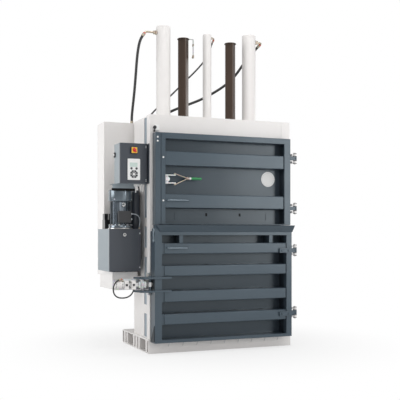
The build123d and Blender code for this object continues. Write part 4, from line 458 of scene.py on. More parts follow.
@dataclass
class Piece:
    """One visual piece under construction, with its finish and the body that it rides on."""

    name: str
    finish: Finish
    body: str = "machine"
    mesh: bmesh.types.BMesh = field(default_factory=bmesh.new)

    def skin(self, sections: list[list[Point | Vector]], hoop: bool = False) -> "Piece":
        """Skins sections one to the next and caps both ends.

        Args:
            sections: Each section's corners in order.
            hoop: Whether the last section joins the first one, without caps.

        Returns:
            The piece itself.
        """
        rings = [[self.mesh.verts.new(mm(*place)) for place in section] for section in sections]
        for before, after in zip(rings, [*rings[1:], rings[0]] if hoop else rings[1:]):
            for index, corner in enumerate(before):
                follow = (index + 1) % len(before)
                self.mesh.faces.new((corner, before[follow], after[follow], after[index]))
        if not hoop:
            self.mesh.faces.new(rings[0])
            self.mesh.faces.new(rings[-1])
        return self

    def prism(self, outline: Outline, axis: Axis, span: Span) -> "Piece":
        """Adds a straight prism with a section's corners, along an axis and between its two ends."""
        return self.skin([[axis.place(a, b, end) for a, b in outline] for end in span])

    def box(self, x: Span, y: Span, z: Span) -> "Piece":
        """Adds a block between three pairs of limits."""
        return self.prism([(x[0], y[0]), (x[1], y[0]), (x[1], y[1]), (x[0], y[1])], Axis.Z, z)

    def turned(
        self, axis: Axis, centre: Span, profile: Outline, sides: int = 32, hoop: bool = False
    ) -> "Piece":
        """Adds a turned shape, a nut with a few sides, or a hoop.

        Args:
            axis: The direction of its axis.
            centre: The axis's two places in the section.
            profile: Places along the axis with their radii, from one end to the other.
            sides: How many sides it has.
            hoop: Whether the profile closes on itself round an open middle.

        Returns:
            The piece itself.
        """
        angles = [2 * math.pi * (index + 0.5) / sides for index in range(sides)]
        sections = [
            [axis.place(*polar(centre, radius, angle), along) for angle in angles] for along, radius in profile
        ]
        return self.skin(sections, hoop)

    def pipe(self, points: list[Vector], radii: list[float], sides: int = 20) -> "Piece":
        """Adds a round bar of changing thickness along a line.

        Args:
            points: The line's points.
            radii: The radius at each point.
            sides: How many sides the section has.

        Returns:
            The piece itself.
        """
        sections = []
        across = None
        angles = [2 * math.pi * side / sides for side in range(sides)]
        for index, point in enumerate(points):
            before = points[max(index - 1, 0)]
            after = points[min(index + 1, len(points) - 1)]
            ahead = (after - before).normalized()
            if across is None:
                across = ahead.orthogonal()
            across = (across - ahead * across.dot(ahead)).normalized()
            up = ahead.cross(across)
            sections.append([
                point + radii[index] * (across * math.cos(angle) + up * math.sin(angle)) for angle in angles
            ])
        return self.skin(sections)

    def finish_off(self, edge: float = 0.6) -> bpy.types.Object:
        """Turns the piece into an object that rides on its body.

        Args:
            edge: The width of its eased edges, in millimetres.

        Returns:
            The finished object.
        """
        bmesh.ops.recalc_face_normals(self.mesh, faces=self.mesh.faces)
        data = bpy.data.meshes.new(self.name)
        self.mesh.to_mesh(data)
        self.mesh.free()
        data.shade_smooth()
        data.set_sharp_from_angle(angle=SHARP_ANGLE)
        data.materials.append(self.finish.material())
        made = placed(self.name, data)
        if edge:
            ease(made, edge)
        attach(made, self.body)
        log.info("piece %s on %s", self.name, self.body)
        return made


@dataclass(frozen=True)
class Fastener:
    """A kind of screw, set on many places by one node tree."""

    name: str
    finish: Finish
    head_radius: float
    head_height: float
    washer_radius: float
    washer_height: float
    sides: int = 6
    seed: int = 7

    def sizes(self) -> dict[str, float | int]:
        """The tree's named inputs with their values, in metres."""
        names = ("Head Radius", "Head Height", "Washer Radius", "Washer Height")
        widths = mm(self.head_radius, self.head_height, self.washer_radius, self.washer_height)
        return {**dict(zip(names, widths)), "Sides": self.sides, "Seed": self.seed}

    def tree(self) -> bpy.types.GeometryNodeTree:
        """The node tree that puts one head and its washer on each point.

        Returns:
            The tree, with its sizes as named inputs.
        """
        tree = bpy.data.node_groups.new(self.name, "GeometryNodeTree")
        for way in ("INPUT", "OUTPUT"):
            tree.interface.new_socket("Geometry", in_out=way, socket_type="NodeSocketGeometry")
        for name, value in self.sizes().items():
            kind = "NodeSocketInt" if isinstance(value, int) else "NodeSocketFloat"
            tree.interface.new_socket(name, in_out="INPUT", socket_type=kind)
        nodes = Nodes(tree)
        given = nodes.add("NodeGroupInput", {}).outputs
        joined = nodes.add("GeometryNodeJoinGeometry", {})
        parts = (("Washer", WASHER_SIDES, 0.0), ("Head", given["Sides"], given["Washer Height"]))
        for part, sides, rise in parts:
            height = given[f"{part} Height"]
            sizes = {"Vertices": sides, "Radius": given[f"{part} Radius"], "Depth": height}
            solid = nodes.add("GeometryNodeMeshCylinder", sizes).outputs["Mesh"]
            middle = {"Z": nodes.maths("MULTIPLY_ADD", height, 0.5, rise)}
            lift = nodes.add("ShaderNodeCombineXYZ", middle).outputs[0]
            moved = nodes.add("GeometryNodeTransform", {"Geometry": solid, "Translation": lift})
            nodes.feed(joined, {0: moved.outputs[0]})
        facing = nodes.add("GeometryNodeInputNamedAttribute", {"Name": "facing"}, data_type="FLOAT_VECTOR")
        way = {"Vector": facing.outputs["Attribute"]}
        spread = nodes.add("GeometryNodeInstanceOnPoints", {
            "Points": given["Geometry"],
            "Instance": joined.outputs[0],
            "Rotation": nodes.add("FunctionNodeAlignRotationToVector", way, axis="Z").outputs[0],
        })
        turns = {"Min": (0.0, 0.0, 0.0), "Max": (0.0, 0.0, math.pi), "Seed": given["Seed"]}
        chance = nodes.add("FunctionNodeRandomValue", turns, data_type="FLOAT_VECTOR").outputs["Value"]
        twist = nodes.add("GeometryNodeRotateInstances", {"Instances": spread.outputs[0], "Rotation": chance})
        whole = nodes.add("GeometryNodeRealizeInstances", {0: twist.outputs[0]}).outputs[0]
        coat = {"Geometry": whole, "Material": self.finish.material()}
        nodes.add("NodeGroupOutput", {0: nodes.add("GeometryNodeSetMaterial", coat).outputs[0]})
        return tree

    def set_on(
        self, name: str, seats: list[Point], facing: Point | list[Point] = FRONT, body: str = "machine"
    ) -> None:
        """Sets the fasteners on one body as one plain mesh.

        Args:
            name: The piece's name.
            seats: Each fastener's seat, in millimetres.
            facing: The direction that they face, or that of each one.
            body: The body that the piece rides on.
        """
        ways = facing if isinstance(facing, list) else [facing] * len(seats)
        data = bpy.data.meshes.new(name)
        data.from_pydata([mm(*seat) for seat in seats], [], [])
        directions = data.attributes.new("facing", "FLOAT_VECTOR", "POINT")
        directions.data.foreach_set("vector", [value for way in ways for value in way])
        holder = placed(f"{name}_points", data)
        tree = self.tree()
        scatter = holder.modifiers.new("fasteners", "NODES")
        scatter.node_group = tree
        sizes = self.sizes()
        for item in tree.interface.items_tree:
            if item.in_out == "INPUT" and item.name in sizes:
                scatter[item.identifier] = sizes[item.name]
        shown = holder.evaluated_get(bpy.context.evaluated_depsgraph_get())
        plain = bpy.data.meshes.new_from_object(shown)
        bpy.data.objects.remove(holder)
        plain.name = name
        made = placed(name, plain)
        ease(made, min(self.head_height, self.head_radius) * HEAD_EASE)
        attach(made, body)
        log.info("fasteners %s: %d on %s", name, len(seats), body)


@dataclass(frozen=True)
class Hose:
    """One flexible hose or cable, which follows a smooth line through its route.

    The route's places along Y count from base_y. The diameter and the length are in metres.
    """

    name: str
    node: str
    diameter: float
    length: float
    base_y: float
    route: tuple[Point, ...]
    stiffness: str = "stiff"
    finish: Finish = RUBBER

    def build(self) -> None:
        """Makes the hose as a round curve on the machine."""
        route = [(x, self.base_y + y, z) for x, y, z in self.route]
        data = bpy.data.curves.new(self.name, "CURVE")
        data.dimensions = "3D"
        data.bevel_depth = self.diameter / 2
        data.bevel_resolution = 6
        data.use_fill_caps = True
        data.resolution_u = 16
        line = data.splines.new("NURBS")
        line.points.add(len(route) - 1)
        for point, place in zip(line.points, route):
            point.co = (*mm(*place), 1.0)
        line.order_u = 3
        line.use_endpoint_u = True
        data.materials.append(self.finish.material())
        hose = placed(self.name, data)
        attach(hose, "machine")
        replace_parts(hose, self.node)
        log.info("hose %s", self.name)


# Where the cylinders' and the lock's axes lie along Y, and the top of the frame
RAM_Y = -42.0
LOCK_Y = -445.0
FRAME_TOP = 2080.0
HOSES = (
    Hose("left_hose", "left_cylinder_hose", 0.025, 0.833, RAM_Y, (
        (-625, 0, 2866), (-646, 0, 2836.4), (-663, 5, 2794), (-673, 14, 2740), (-677, 34, 2672),
        (-675, 66, 2590), (-670, 106, 2498), (-664, 152, 2408), (-659, 198, 2324), (-656, 235, 2256),
        (-655, 258, 2206), (-655, 271, 2168), (-655, 278, 2134), (-655, 278, 2102),
    )),
    Hose("centre_hose", "centre_cylinder_hose", 0.015, 1.264, RAM_Y, (
        (74, 26, 2874), (74, 58.5, 2854), (72, 85, 2820), (62, 106, 2776), (38, 126, 2720),
        (-4, 150, 2659), (-66, 182, 2586), (-142, 227, 2506), (-222, 268, 2416), (-304, 316, 2330),
        (-380, 366, 2254), (-446, 402, 2174), (-500, 408, 2096), (-534, 401, 2020), (-552, 392, 1958),
        (-552, 392, 1912),
    )),
    Hose("right_hose", "right_cylinder_hose", 0.025, 1.714, RAM_Y, (
        (562, 22, 2878), (546, 57.2, 2852.4), (518, 88, 2812), (482, 120, 2760), (440, 152, 2698),
        (386, 184, 2606), (300, 222, 2512), (180, 262, 2428), (48, 294, 2354), (-90, 326, 2298),
        (-220, 366, 2244), (-330, 410, 2182), (-424, 442, 2106), (-490, 450, 2010), (-524, 446, 1914),
        (-534, 439, 1836), (-534, 439, 1780),
    )),
    Hose("bolt_hose", "lock_hose", 0.012, 0.674, LOCK_Y, (
        (-963, -6.5, 655), (-993, -19.5, 649), (-1018, -33, 629), (-1035, -39, 599), (-1037, -37, 562),
        (-1023, -27, 528), (-992, -11, 504), (-946, 12, 495), (-894, 44, 496), (-850, 86, 508),
        (-816, 130, 528), (-792, 178, 550), (-775, 228, 574), (-767, 272, 592), (-765, 304, 604),
        (-765, 330, 604),
    ), "medium"),
    Hose("motor_lead", "motor_cable", 0.009, 0.176, 0.0, (
        (-794, -227, 1216.25), (-768, -227, 1216.25), (-740, -226, 1204), (-722, -221, 1183),
        (-715, -213, 1154), (-717, -195, 1124), (-717, -195, 1096),
    ), "medium", LEAD),
)


@dataclass(frozen=True)
class HoseEnd:
    """A hose's end: the port with its nuts, the bent pipe, the coloured ring and the crimped sleeve."""

    port: Point
    elbow: Point
    start: Point
    hose_radius: float
    pipe_radius: float = 9.0
    port_nut: float = 21.0
    grip: float = 26.0
    nut_length: float = 14.0

    def build(self, metal: Piece, rings: Piece) -> None:
        """Adds the end to the shared pieces.

        Args:
            metal: The plated metal of all the ends.
            rings: The coloured rings of all the ends.
        """
        port, elbow, start = Vector(self.port), Vector(self.elbow), Vector(self.start)
        out = (elbow - port).normalized()
        on = (start - elbow).normalized()
        for begin, radius in ((0.0, self.port_nut), (self.nut_length + 4, self.port_nut * 0.82)):
            nut = [port + out * (begin + step * self.nut_length) for step in (0.0, 0.12, 0.88, 1.0)]
            metal.pipe(nut, [radius * 0.9, radius, radius, radius * 0.9], 6)
        bend = min((elbow - port).length * 0.45, 26.0)
        lead = min((start - elbow).length * 0.6, 14.0)
        line = [port, elbow - out * bend]
        for step in range(1, 8):
            share = step / 8
            before = (elbow - out * bend).lerp(elbow, share)
            after = elbow.lerp(elbow + on * lead, share)
            line.append(before.lerp(after, share))
        line += [elbow + on * lead, start]
        metal.pipe(line, [self.pipe_radius] * len(line))
        collar = self.hose_radius + 1.2
        rings.pipe([start - on * 11, start - on * 4], [collar, collar])
        sleeve = self.hose_radius + 2.2
        crimps = (
            (-4, 0.86), (-2, 1.0), (4, 1.0), (6, 0.94), (10, 0.94), (12, 1.0), (18, 1.0), (20, 0.94), (24, 1.0),
            (self.grip, 0.9),
        )
        metal.pipe([start + on * place for place, _ in crimps], [sleeve * share for _, share in crimps])


@dataclass(frozen=True)
class HoseEnds:
    """All the hose ends, which stand for the frame's plain fittings."""

    ends: tuple[HoseEnd, ...] = (
        HoseEnd((-501.5, RAM_Y, 2890), (-608, RAM_Y, 2890), (-625, RAM_Y, 2866), 12.5),
        HoseEnd((40.5, RAM_Y, 2890), (74, RAM_Y, 2890), (74, RAM_Y + 26, 2874), 7.5, 5.0, 12.5, 20.0, 9.0),
        HoseEnd((501.5, RAM_Y, 2894), (572, RAM_Y, 2894), (562, RAM_Y + 22, 2878), 12.5),
        HoseEnd(
            (-606, RAM_Y + 392, 1888), (-552, RAM_Y + 392, 1888), (-552, RAM_Y + 392, 1912),
            7.5, 5.0, 12.5, 18.0, 9.0,
        ),
        HoseEnd((-606, RAM_Y + 439, 1756), (-534, RAM_Y + 439, 1756), (-534, RAM_Y + 439, 1780), 12.5),
        HoseEnd((-948, LOCK_Y, 637), (-948, LOCK_Y, 658), (-963, LOCK_Y - 6.5, 655), 6.0, 4.5, 10.5, 18.0, 6.0),
    )
    grommet: Span = (-655, RAM_Y + 278)
    socket: Span = (-765, 604)
    seat: Span = (-717, -195)

    def build(self) -> None:
        """Makes the ends, the duct's grommet, the beam's socket and the cable's seat."""
        metal = Piece("hose_ends", TAN_ZINC)
        rings = Piece("hose_rings", RED_RING)
        for end in self.ends:
            end.build(metal, rings)
        tube = [(FRAME_TOP - 20, 15), (FRAME_TOP + 20, 15), (FRAME_TOP + 26, 14)]
        metal.turned(Axis.Z, self.grommet, tube)
        metal.turned(Axis.Z, self.grommet, [(FRAME_TOP, 22), (FRAME_TOP + 7, 22)], 6)
        metal.turned(Axis.Y, self.socket, [(-122, 8), (-95, 8)])
        metal.turned(Axis.Y, self.socket, [(-104, 12), (-95, 12)], 6)
        metal.turned(Axis.Z, self.seat, [(1085, 9), (1092, 9), (1099, 6.5)], 6)
        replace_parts(metal.finish_off(0.5), "hose_fittings")
        rings.finish_off(0.8)


def add_bead(piece: Piece, start: Point, end: Point, radius: float = 3.0) -> None:
    """Adds one rippled weld bead.

    Args:
        piece: The piece that it belongs to.
        start: Where it starts.
        end: Where it ends.
        radius: Its half width.
    """
    first, last = Vector(start), Vector(end)
    steps = max(4, round((last - first).length / 3.0))
    points = [first.lerp(last, step / steps) for step in range(steps + 1)]
    radii = [radius * (0.92 + 0.08 * (step % 2)) for step in range(steps + 1)]
    radii[0] = radii[-1] = radius * 0.45
    piece.pipe(points, radii, 8)


# Both doors' skins along Y, and their stitch welds' middles along X with half their length
DOOR_SKIN = -376.0
STITCHES = (-420.0, -145.0, 130.0, 400.0)
STITCH_REACH = 22


def add_stitches(name: str, body: str, levels: tuple[float, ...]) -> None:
    """Makes the short weld beads along the edges of a door's ribs, in darker paint that paints the shade of the
    slots there.

    Args:
        name: The piece's name.
        body: The door that it rides on.
        levels: The heights of the ribs' edges.
    """
    beads = Piece(name, SEAM_SHADE, body)
    for x in STITCHES:
        for z in levels:
            add_bead(beads, (x - STITCH_REACH, DOOR_SKIN, z), (x + STITCH_REACH, DOOR_SKIN, z))
    beads.finish_off(0)


@dataclass(frozen=True)
class DoorTrim:
    """What is fixed to the loading door: bolts, the plain disc, black patches of painted shade for two holes,
    tabs and the stitch welds in darker paint of painted shade.
    """

    body: str = "loading_door_leaf"
    face: float = -475.0
    disc: Span = (471.5, 1546)
    disc_radius: float = 69
    lever: Span = (-435, 1527.5)
    rib_edges: tuple[float, ...] = (1264.0, 1386.0, 1635.0, 1758.0)

    def build(self) -> None:
        """Makes every piece of the trim."""
        disc = [(DOOR_SKIN, self.disc_radius), (DOOR_SKIN - 0.8, self.disc_radius)]
        Piece("plain_disc", WHITE_PLASTIC, self.body).turned(Axis.Y, self.disc, disc, 96).finish_off(0.2)
        low, high = DOOR_SKIN - 0.6, DOOR_SKIN - 0.95
        line = [(low, 59), (high, 59), (high, 57.5), (low, 57.5)]
        Piece("disc_line", PALE_GREY, self.body).turned(Axis.Y, self.disc, line, 96, hoop=True).finish_off(0)
        bolt = Fastener("stile_bolt", WHITE_PLASTIC, 6.0, 3.0, 8.0, 1.5, 24)
        bolt.set_on("stile_bolts", [(-589.5, self.face, z) for z in (1702, 1329)], body=self.body)
        bolt.set_on("jamb_bolts", [(-640.5, self.face, z) for z in (1875, 1841)])
        # Two black patches on the skin paint the shade of holes there
        hole_shades = Piece("skin_hole_shades", HOLE_SHADE, self.body)
        for x in (-148.0, 182.0):
            hole_shades.box(about(x, 8.5), (DOOR_SKIN - 2, DOOR_SKIN), (1200, 1226))
        hole_shades.finish_off(0.8)
        tabs = Piece("skin_tabs", DOOR, self.body)
        for x in (-445.0, 452.5):
            tabs.box(about(x, 8), (DOOR_SKIN - 3, DOOR_SKIN), (1170, 1224))
        tabs.finish_off(1.0)
        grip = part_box("latch_grip")[0].x / MILLIMETRE
        ferrule = [(grip - 6, 8), (grip - 4, 12.5), (grip + 16, 12.5), (grip + 17, 11.6)]
        Piece("grip_ferrule", BRIGHT, "loading_latch").turned(Axis.X, self.lever, ferrule).finish_off(0.5)
        add_stitches("loading_door_welds", self.body, self.rib_edges)


@dataclass(frozen=True)
class BaleDoorTrim:
    """What is fixed to the bale door: the cast hook in door paint made lighter as a painted highlight, the
    wedge, the welds in darker paint as painted shade, and the leaves' bolts.
    """

    body: str = "bale_door_leaf"
    left: float = -680.0
    hook: Outline = (
        (-508, 1090), (-476, 1090), (-466, 1074), (-474, 1040), (-482, 1012), (-476, 990), (-484, 968),
        (-500, 966), (-512, 982), (-508, 1008), (-500, 1040), (-511, 1070),
    )
    hook_pin: Span = (-494, 984)
    wedge: Outline = ((-513, 256), (-513, 116), (-425, 116), (-425, 134))
    rib_edges: tuple[float, ...] = (351, 549, 677, 768, 961)

    def build(self) -> None:
        """Makes every piece of the trim."""
        left = self.left
        # The hook wears the lightened door paint, a painted highlight
        hook = Piece("side_hook", HIGHLIGHT_BAR, self.body).prism(self.hook, Axis.X, (left - 11, left))
        hook.turned(Axis.X, self.hook_pin, [(left - 15, 9), (left - 11, 9), (left - 10, 12), (left, 12)])
        hook.finish_off(2.2)
        Piece("side_wedge", SEAM_SHADE, self.body).prism(self.wedge, Axis.X, (left - 7, left)).finish_off(1.2)
        add_stitches("bale_door_welds", self.body, self.rib_edges)
        bolt = Fastener("leaf_bolt", DOOR, 8.0, 6.0, 10.0, 1.5)
        bolt.set_on("leaf_bolts", [(x, -527, z) for x in (540, 606) for z in (312.5, 889)], body=self.body)


@dataclass(frozen=True)
class FrameTrim:
    """The frame's small work: the linings of the column slots, weld beads, the sill strip and the dark hinge
    rings of painted shade.
    """

    base_top: float = 124.0
    slots: tuple[Span, ...] = ((6, 211), (292, 713), (795, 982), (1062, 1946))
    lining_top: float = 2072
    column_welds: tuple[Span, ...] = ((-315, -270), (-220, -175), (-120, -75), (-20, 25), (70, 105))
    hinge: Span = (717.5, -445)
    hinge_levels: tuple[Span, ...] = ((1277, 17.6), (1741, 17.6), (312.5, 20.6), (889, 20.6))
    roller: Span = (-648.9, 1964)

    def build(self) -> None:
        """Makes every piece of the trim."""
        base = self.base_top
        linings = Piece("column_linings", SLOT_BLUE)
        welds = Piece("frame_welds", WHITE)
        for side in (-1, 1):
            x = tuple(sorted((side * 661, side * 664.6)))
            for low, high in self.slots:
                linings.box(x, (-273, -182), (base + max(low - 8, 1), min(base + high + 8, self.lining_top)))
            add_bead(welds, (side * 604, -394, base), (side * 683, -394, base), 3.5)
            for low, high in self.column_welds:
                add_bead(welds, (side * 669, low, base), (side * 669, high, base), 3.5)
        linings.finish_off(0.6)
        welds.finish_off(0)
        self.add_sill_strip()
        self.add_hinge_rings()

    def add_sill_strip(self) -> None:
        """Adds the thin strip across the base's front with its slanted clips."""
        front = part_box("base_frame")[0].y / MILLIMETRE
        Piece("sill_strip", WHITE).box((-592, 599), (front - 4, front), (38, 96)).finish_off(1.2)
        clips = Piece("sill_clips", PALE_GREY)
        for index in range(9):
            x = -520 + 134 * index
            clips.prism([(x, 56), (x + 4, 56), (x + 16, 92), (x + 12, 92)], Axis.Y, (front - 6.5, front - 4))
        clips.finish_off(0.5)

    def add_hinge_rings(self) -> None:
        """Adds the dark rings at both ends of every hinge's knuckles, painted shade of the gaps there, and the
        limit switch's roller.
        """
        rings = Piece("hinge_rings", SEAM_SHADE)
        for level, reach in self.hinge_levels:
            for side in (-1, 1):
                for start in (reach + 1, reach + 26):
                    ring = [(level + side * start, 17), (level + side * (start + 4), 17)]
                    rings.turned(Axis.Z, self.hinge, ring, 36)
        rings.finish_off(0.6)
        roller = [(-417, 15), (-428, 15), (-429, 13), (-429, 5), (-431, 5)]
        wheel = Piece("switch_roller", BLACK_PLASTIC, "switch_lever")
        wheel.turned(Axis.Y, self.roller, roller, 36).finish_off(0.8)


@dataclass(frozen=True)
class PowerPackTrim:
    """The power pack's small work: screws, eye bolt, gauge glass, flange ring, tank seat and glands."""

    motor: Span = (-866.5, -115.0)
    tank_top: float = 1085.0
    lid_reach: float = 145.0
    panel_face: float = -209.0
    gauge: Span = (-857.5, 1033)
    eye: Point = (-866.5, -213.0, 1300.0)
    eye_radius: float = 13.0
    skirt: tuple[float, float] = (107.6, 1346.0)
    gland_y: float = -227.0

    def build(self) -> None:
        """Makes every piece of the trim."""
        x, y = self.motor
        top = self.tank_top
        flange = [(top, 112), (top + 9, 112), (top + 9, 105.5)]
        Piece("motor_flange_ring", STEEL).turned(Axis.Z, self.motor, flange, 72).finish_off(1.0)
        flange_bolt = Fastener("flange_bolt", ZINC, 9.0, 8.0, 12.0, 2.0)
        flange_bolt.set_on("flange_bolts", bolt_circle(self.motor, 96, top + 30), UP)
        lid_screw = Fastener("lid_screw", BLACK_PLASTIC, 4.5, 2.0, 5.5, 0.8, 12)
        lid = [(x + dx, y - self.lid_reach, 1190.5 + dz) for dx in (-48, 48) for dz in (-43, 43)]
        lid_screw.set_on("lid_screws", lid)
        panel_screw = Fastener("panel_screw", ZINC, 5.5, 2.5, 7.5, 1.0, 12)
        panel_screw.set_on("panel_screws", [(-716, self.panel_face, z) for z in (744, 1046)])
        seat = Piece("tank_seat", WHITE).box((-937, -702), (-97, -62), (659, 700))
        seat.box((-937, -926), (-62, 184), (659, 700)).finish_off(1.2)
        self.add_gauge()
        self.add_eye_bolt()
        self.add_cover_screws()
        self.add_cable_glands()

    def add_gauge(self) -> None:
        """Adds the oil gauge's bright rim, its glass and its float."""
        x, level = self.gauge
        rim = [(-209, 15), (-217, 15), (-218, 13.5), (-218, 9.5)]
        Piece("gauge_rim", BRIGHT).turned(Axis.Y, self.gauge, rim, 40).finish_off(0.5)
        glass = [(-217.5, 10.0), (-218.6, 9.5), (-219.2, 7.0)]
        Piece("gauge_glass", BLACK_PLASTIC).turned(Axis.Y, self.gauge, glass, 32).finish_off(0)
        ball = [(-218.6, 5.5), (-219.6, 5.0)]
        Piece("gauge_float", WHITE_PLASTIC).turned(Axis.Y, (x, level - 3), ball, 24).finish_off(0)

    def add_eye_bolt(self) -> None:
        """Adds the lifting eye on the motor's side."""
        ring = []
        for index in range(25):
            angle = math.radians(-70 + 320 * index / 24)
            reach = Vector((self.eye_radius * math.sin(angle), 0, -self.eye_radius * math.cos(angle)))
            ring.append(Vector(self.eye) + reach)
        eye = Piece("lifting_eye", BRIGHT).pipe(ring, [3.6] * len(ring), 12)
        eye.turned(Axis.Y, (self.eye[0], 1287), [(-216, 8), (-206, 8)], 6).finish_off(0.4)

    def add_cover_screws(self) -> None:
        """Adds the screws round the fan cover's skirt."""
        screw = Fastener("cover_screw", ZINC, 4.5, 3.0, 6.0, 1.0, 12)
        radius, level = self.skirt
        angles = [math.radians(turn) for turn in (45, 135, 225, 315)]
        seats = [(*polar(self.motor, radius, angle), level) for angle in angles]
        screw.set_on("cover_screws", seats, [(*polar((0.0, 0.0), 1.0, angle), 0.0) for angle in angles])

    def add_cable_glands(self) -> None:
        """Adds the hexagons and domes of the terminal box's glands."""
        glands = Piece("terminal_glands", ZINC)
        for level in (1169.9, 1216.25):
            glands.turned(Axis.X, (self.gland_y, level), [(-814, 11.5), (-806, 11.5)], 6)
            glands.turned(Axis.X, (self.gland_y, level), [(-806, 9.5), (-796, 9.5), (-793.5, 6.5)], 24)
        glands.finish_off(0.5)


@dataclass(frozen=True)
class CabinetTrim:
    """The cabinet's small work: switch plate, screen, keys, glands, lock collar and a black strip of painted
    shadow along the guard's edge.
    """

    body: str = "cabinet_door_leaf"
    panel_x: float = -819.5
    panel_face: float = -367.0
    face: float = -355.0
    switch: Span = (-817.8, 1763)
    keys_level: float = 1557
    button_level: float = 1606
    gland_y: float = -254.75

    def build(self) -> None:
        """Makes every piece of the trim."""
        x, level = self.switch
        plate = Piece("switch_plate", YELLOW, self.body)
        plate.box(about(x, 25.1), (self.face - 22.25, self.face - 18.0), about(level, 25.1)).finish_off(1.0)
        front = (self.panel_face - 0.5, self.panel_face + 0.3)
        screen = Piece("panel_screen", SCREEN, self.body)
        screen.box(about(self.panel_x - 3, 34), front, about(1638, 18.5)).finish_off(0.2)
        self.add_keys()
        self.add_glands()
        collar = [(-939.0, 23), (-947.0, 23), (-948.0, 21.5)]
        Piece("lock_collar", BLACK_PLASTIC).turned(Axis.X, (-195, 1733), collar, 36).finish_off(0.4)
        # A black strip along the guard's lower edge paints the shadow of the gap beneath it
        edge = [(-242.5, 1418), (-234.5, 1418), (-234.5, 1440), (-242.5, 1440)]
        Piece("guard_shadow_strip", HOLE_SHADE).prism(edge, Axis.X, (-982, -759)).finish_off(2.0)
        hinge = Fastener("hinge_screw", ZINC, 3.6, 1.6, 4.4, 0.6, 12)
        seats = [(-706.5, self.face, z) for z in (1500, 1512, 1791, 1803)]
        hinge.set_on("cabinet_hinge_screws", seats, body=self.body)

    def add_keys(self) -> None:
        """Adds the eight dark key caps in their ring and the two button rims."""
        keys = Piece("panel_keys", KEY_GREY, self.body)
        for quadrant in range(4):
            for lean in (-24, 24):
                cap = [
                    polar((self.panel_x, self.keys_level), radius, -math.radians(90 * quadrant + lean + turn))
                    for radius, turn in ((11, -13), (35, -18.5), (35.5, 0), (35, 18.5), (11, 13))
                ]
                keys.prism(cap, Axis.Y, (self.panel_face - 1.5 - 0.35, self.panel_face - 1.5 + 1.4))
        keys.finish_off(0.3)
        rims = Piece("button_rims", PALE_GREY, self.body)
        rim = [(self.panel_face, 12.5), (self.panel_face - 0.7, 12.2)]
        for x in about(self.panel_x, 23):
            rims.turned(Axis.Y, (x, self.button_level), rim, 40)
        rims.finish_off(0)

    def add_glands(self) -> None:
        """Adds the gland nuts under the cabinet with their ribbed bend guards, the middle one dark."""
        nuts = Piece("cabinet_gland_nuts", WHITE_PLASTIC)
        guards = Piece("cabinet_bend_guards", WHITE_PLASTIC)
        dark = Piece("cabinet_dark_guard", BLACK_PLASTIC)
        shares = [step / 12 for step in range(13)]
        radii = [(7.5 if step % 2 else 6.4) - 1.6 * share for step, share in enumerate(shares)]
        for x, drop, guard in ((-775, 58, guards), (-745, 74, dark), (-715, 50, guards)):
            nuts.turned(Axis.Z, (x, self.gland_y), [(1470, 13.5), (1478, 13.5)], 6)
            nuts.turned(Axis.Z, (x, self.gland_y), [(1458, 9), (1462, 11.6), (1470, 11.6)], 24)
            guard.pipe([
                Vector((x + 6 * math.sin(share * 2.6), self.gland_y - 5 * share, 1462 - drop * share))
                for share in shares
            ], radii, 16)
        nuts.finish_off(0.6)
        guards.finish_off(0)
        dark.finish_off(0)


@dataclass(frozen=True)
class LockTrim:
    """The lock's small work: bolts on its plates, the pin's sleeve, the keepers and the cylinder's bands."""

    plate_face: float = -408.0
    axis: Span = (LOCK_Y, 608)
    pin: Span = (-714, -483)

    def build(self) -> None:
        """Makes every piece of the trim."""
        bolt = Fastener("plate_bolt", ZINC, 8.0, 6.5, 11.0, 1.8)
        plates = [(x, self.plate_face, z) for x in (-1000, -900, -720) for z in (578, 638)]
        bolt.set_on("lock_plate_bolts", plates)
        bolt.set_on("lock_foot_bolts", [(-699, -370, z) for z in (536, 680)], LEFT)
        self.add_keepers()
        bands = Piece("lock_cylinder_bands", STEEL)
        for x in (-1006, -950):
            bands.turned(Axis.X, self.axis, [(x - 4, 30.2), (x + 4, 30.2)], 48)
        bands.finish_off(0.8)

    def add_keepers(self) -> None:
        """Adds the pin's sleeve and the two keepers over the bolt, each with its dark square nut."""
        sleeve = [(588, 12), (590, 13.5), (626, 13.5), (628, 12)]
        Piece("pin_sleeve", BRIGHT, "bale_door_leaf").turned(Axis.Z, self.pin, sleeve).finish_off(0.3)
        keepers = Piece("bolt_keepers", WHITE)
        nuts = Piece("keeper_nuts", BLACK_PLASTIC)
        for x in (-917.0, -855.0):
            keepers.box(about(x, 19), (-478, -471), (571, 645))
            for z in ((571, 584), (632, 645)):
                keepers.box(about(x, 19), (-472, -407), z)
            nuts.box(about(x, 9), (-483, -478), about(self.axis[1], 9))
        keepers.finish_off(1.2)
        nuts.finish_off(1.0)


@dataclass(frozen=True)
class CylinderTrim:
    """The cylinders' small work: their flange screws and the clamps of the left guide's switch strip."""

    flanges: tuple[Span, ...] = ((-436.5, 78.0), (0.0, 54.0), (436.5, 78.0))
    flange_top: float = 2096.0

    def build(self) -> None:
        """Makes every piece of the trim."""
        screw = Fastener("cylinder_screw", ZINC, 8.0, 8.0, 9.5, 1.2)
        rows = [bolt_circle((x, RAM_Y), reach, self.flange_top) for x, reach in self.flanges]
        screw.set_on("cylinder_screws", sum(rows, []), UP)
        clamps = Piece("strip_clamps", TAN_ZINC, "press_ram")
        low, high = (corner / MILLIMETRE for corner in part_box("switch_strip"))
        clamps.box((high.x - 9, high.x + 3), (low.y - 3, high.y + 3), (low.z - 2, low.z + 26))
        clamps.box((high.x - 12, high.x - 3), (low.y - 2, high.y + 2), (low.z + 2, low.z + 12))
        clamps.box((high.x - 7, high.x + 2), (low.y - 3, high.y + 3), (high.z - 66, high.z - 44))
        clamps.finish_off(1.0)


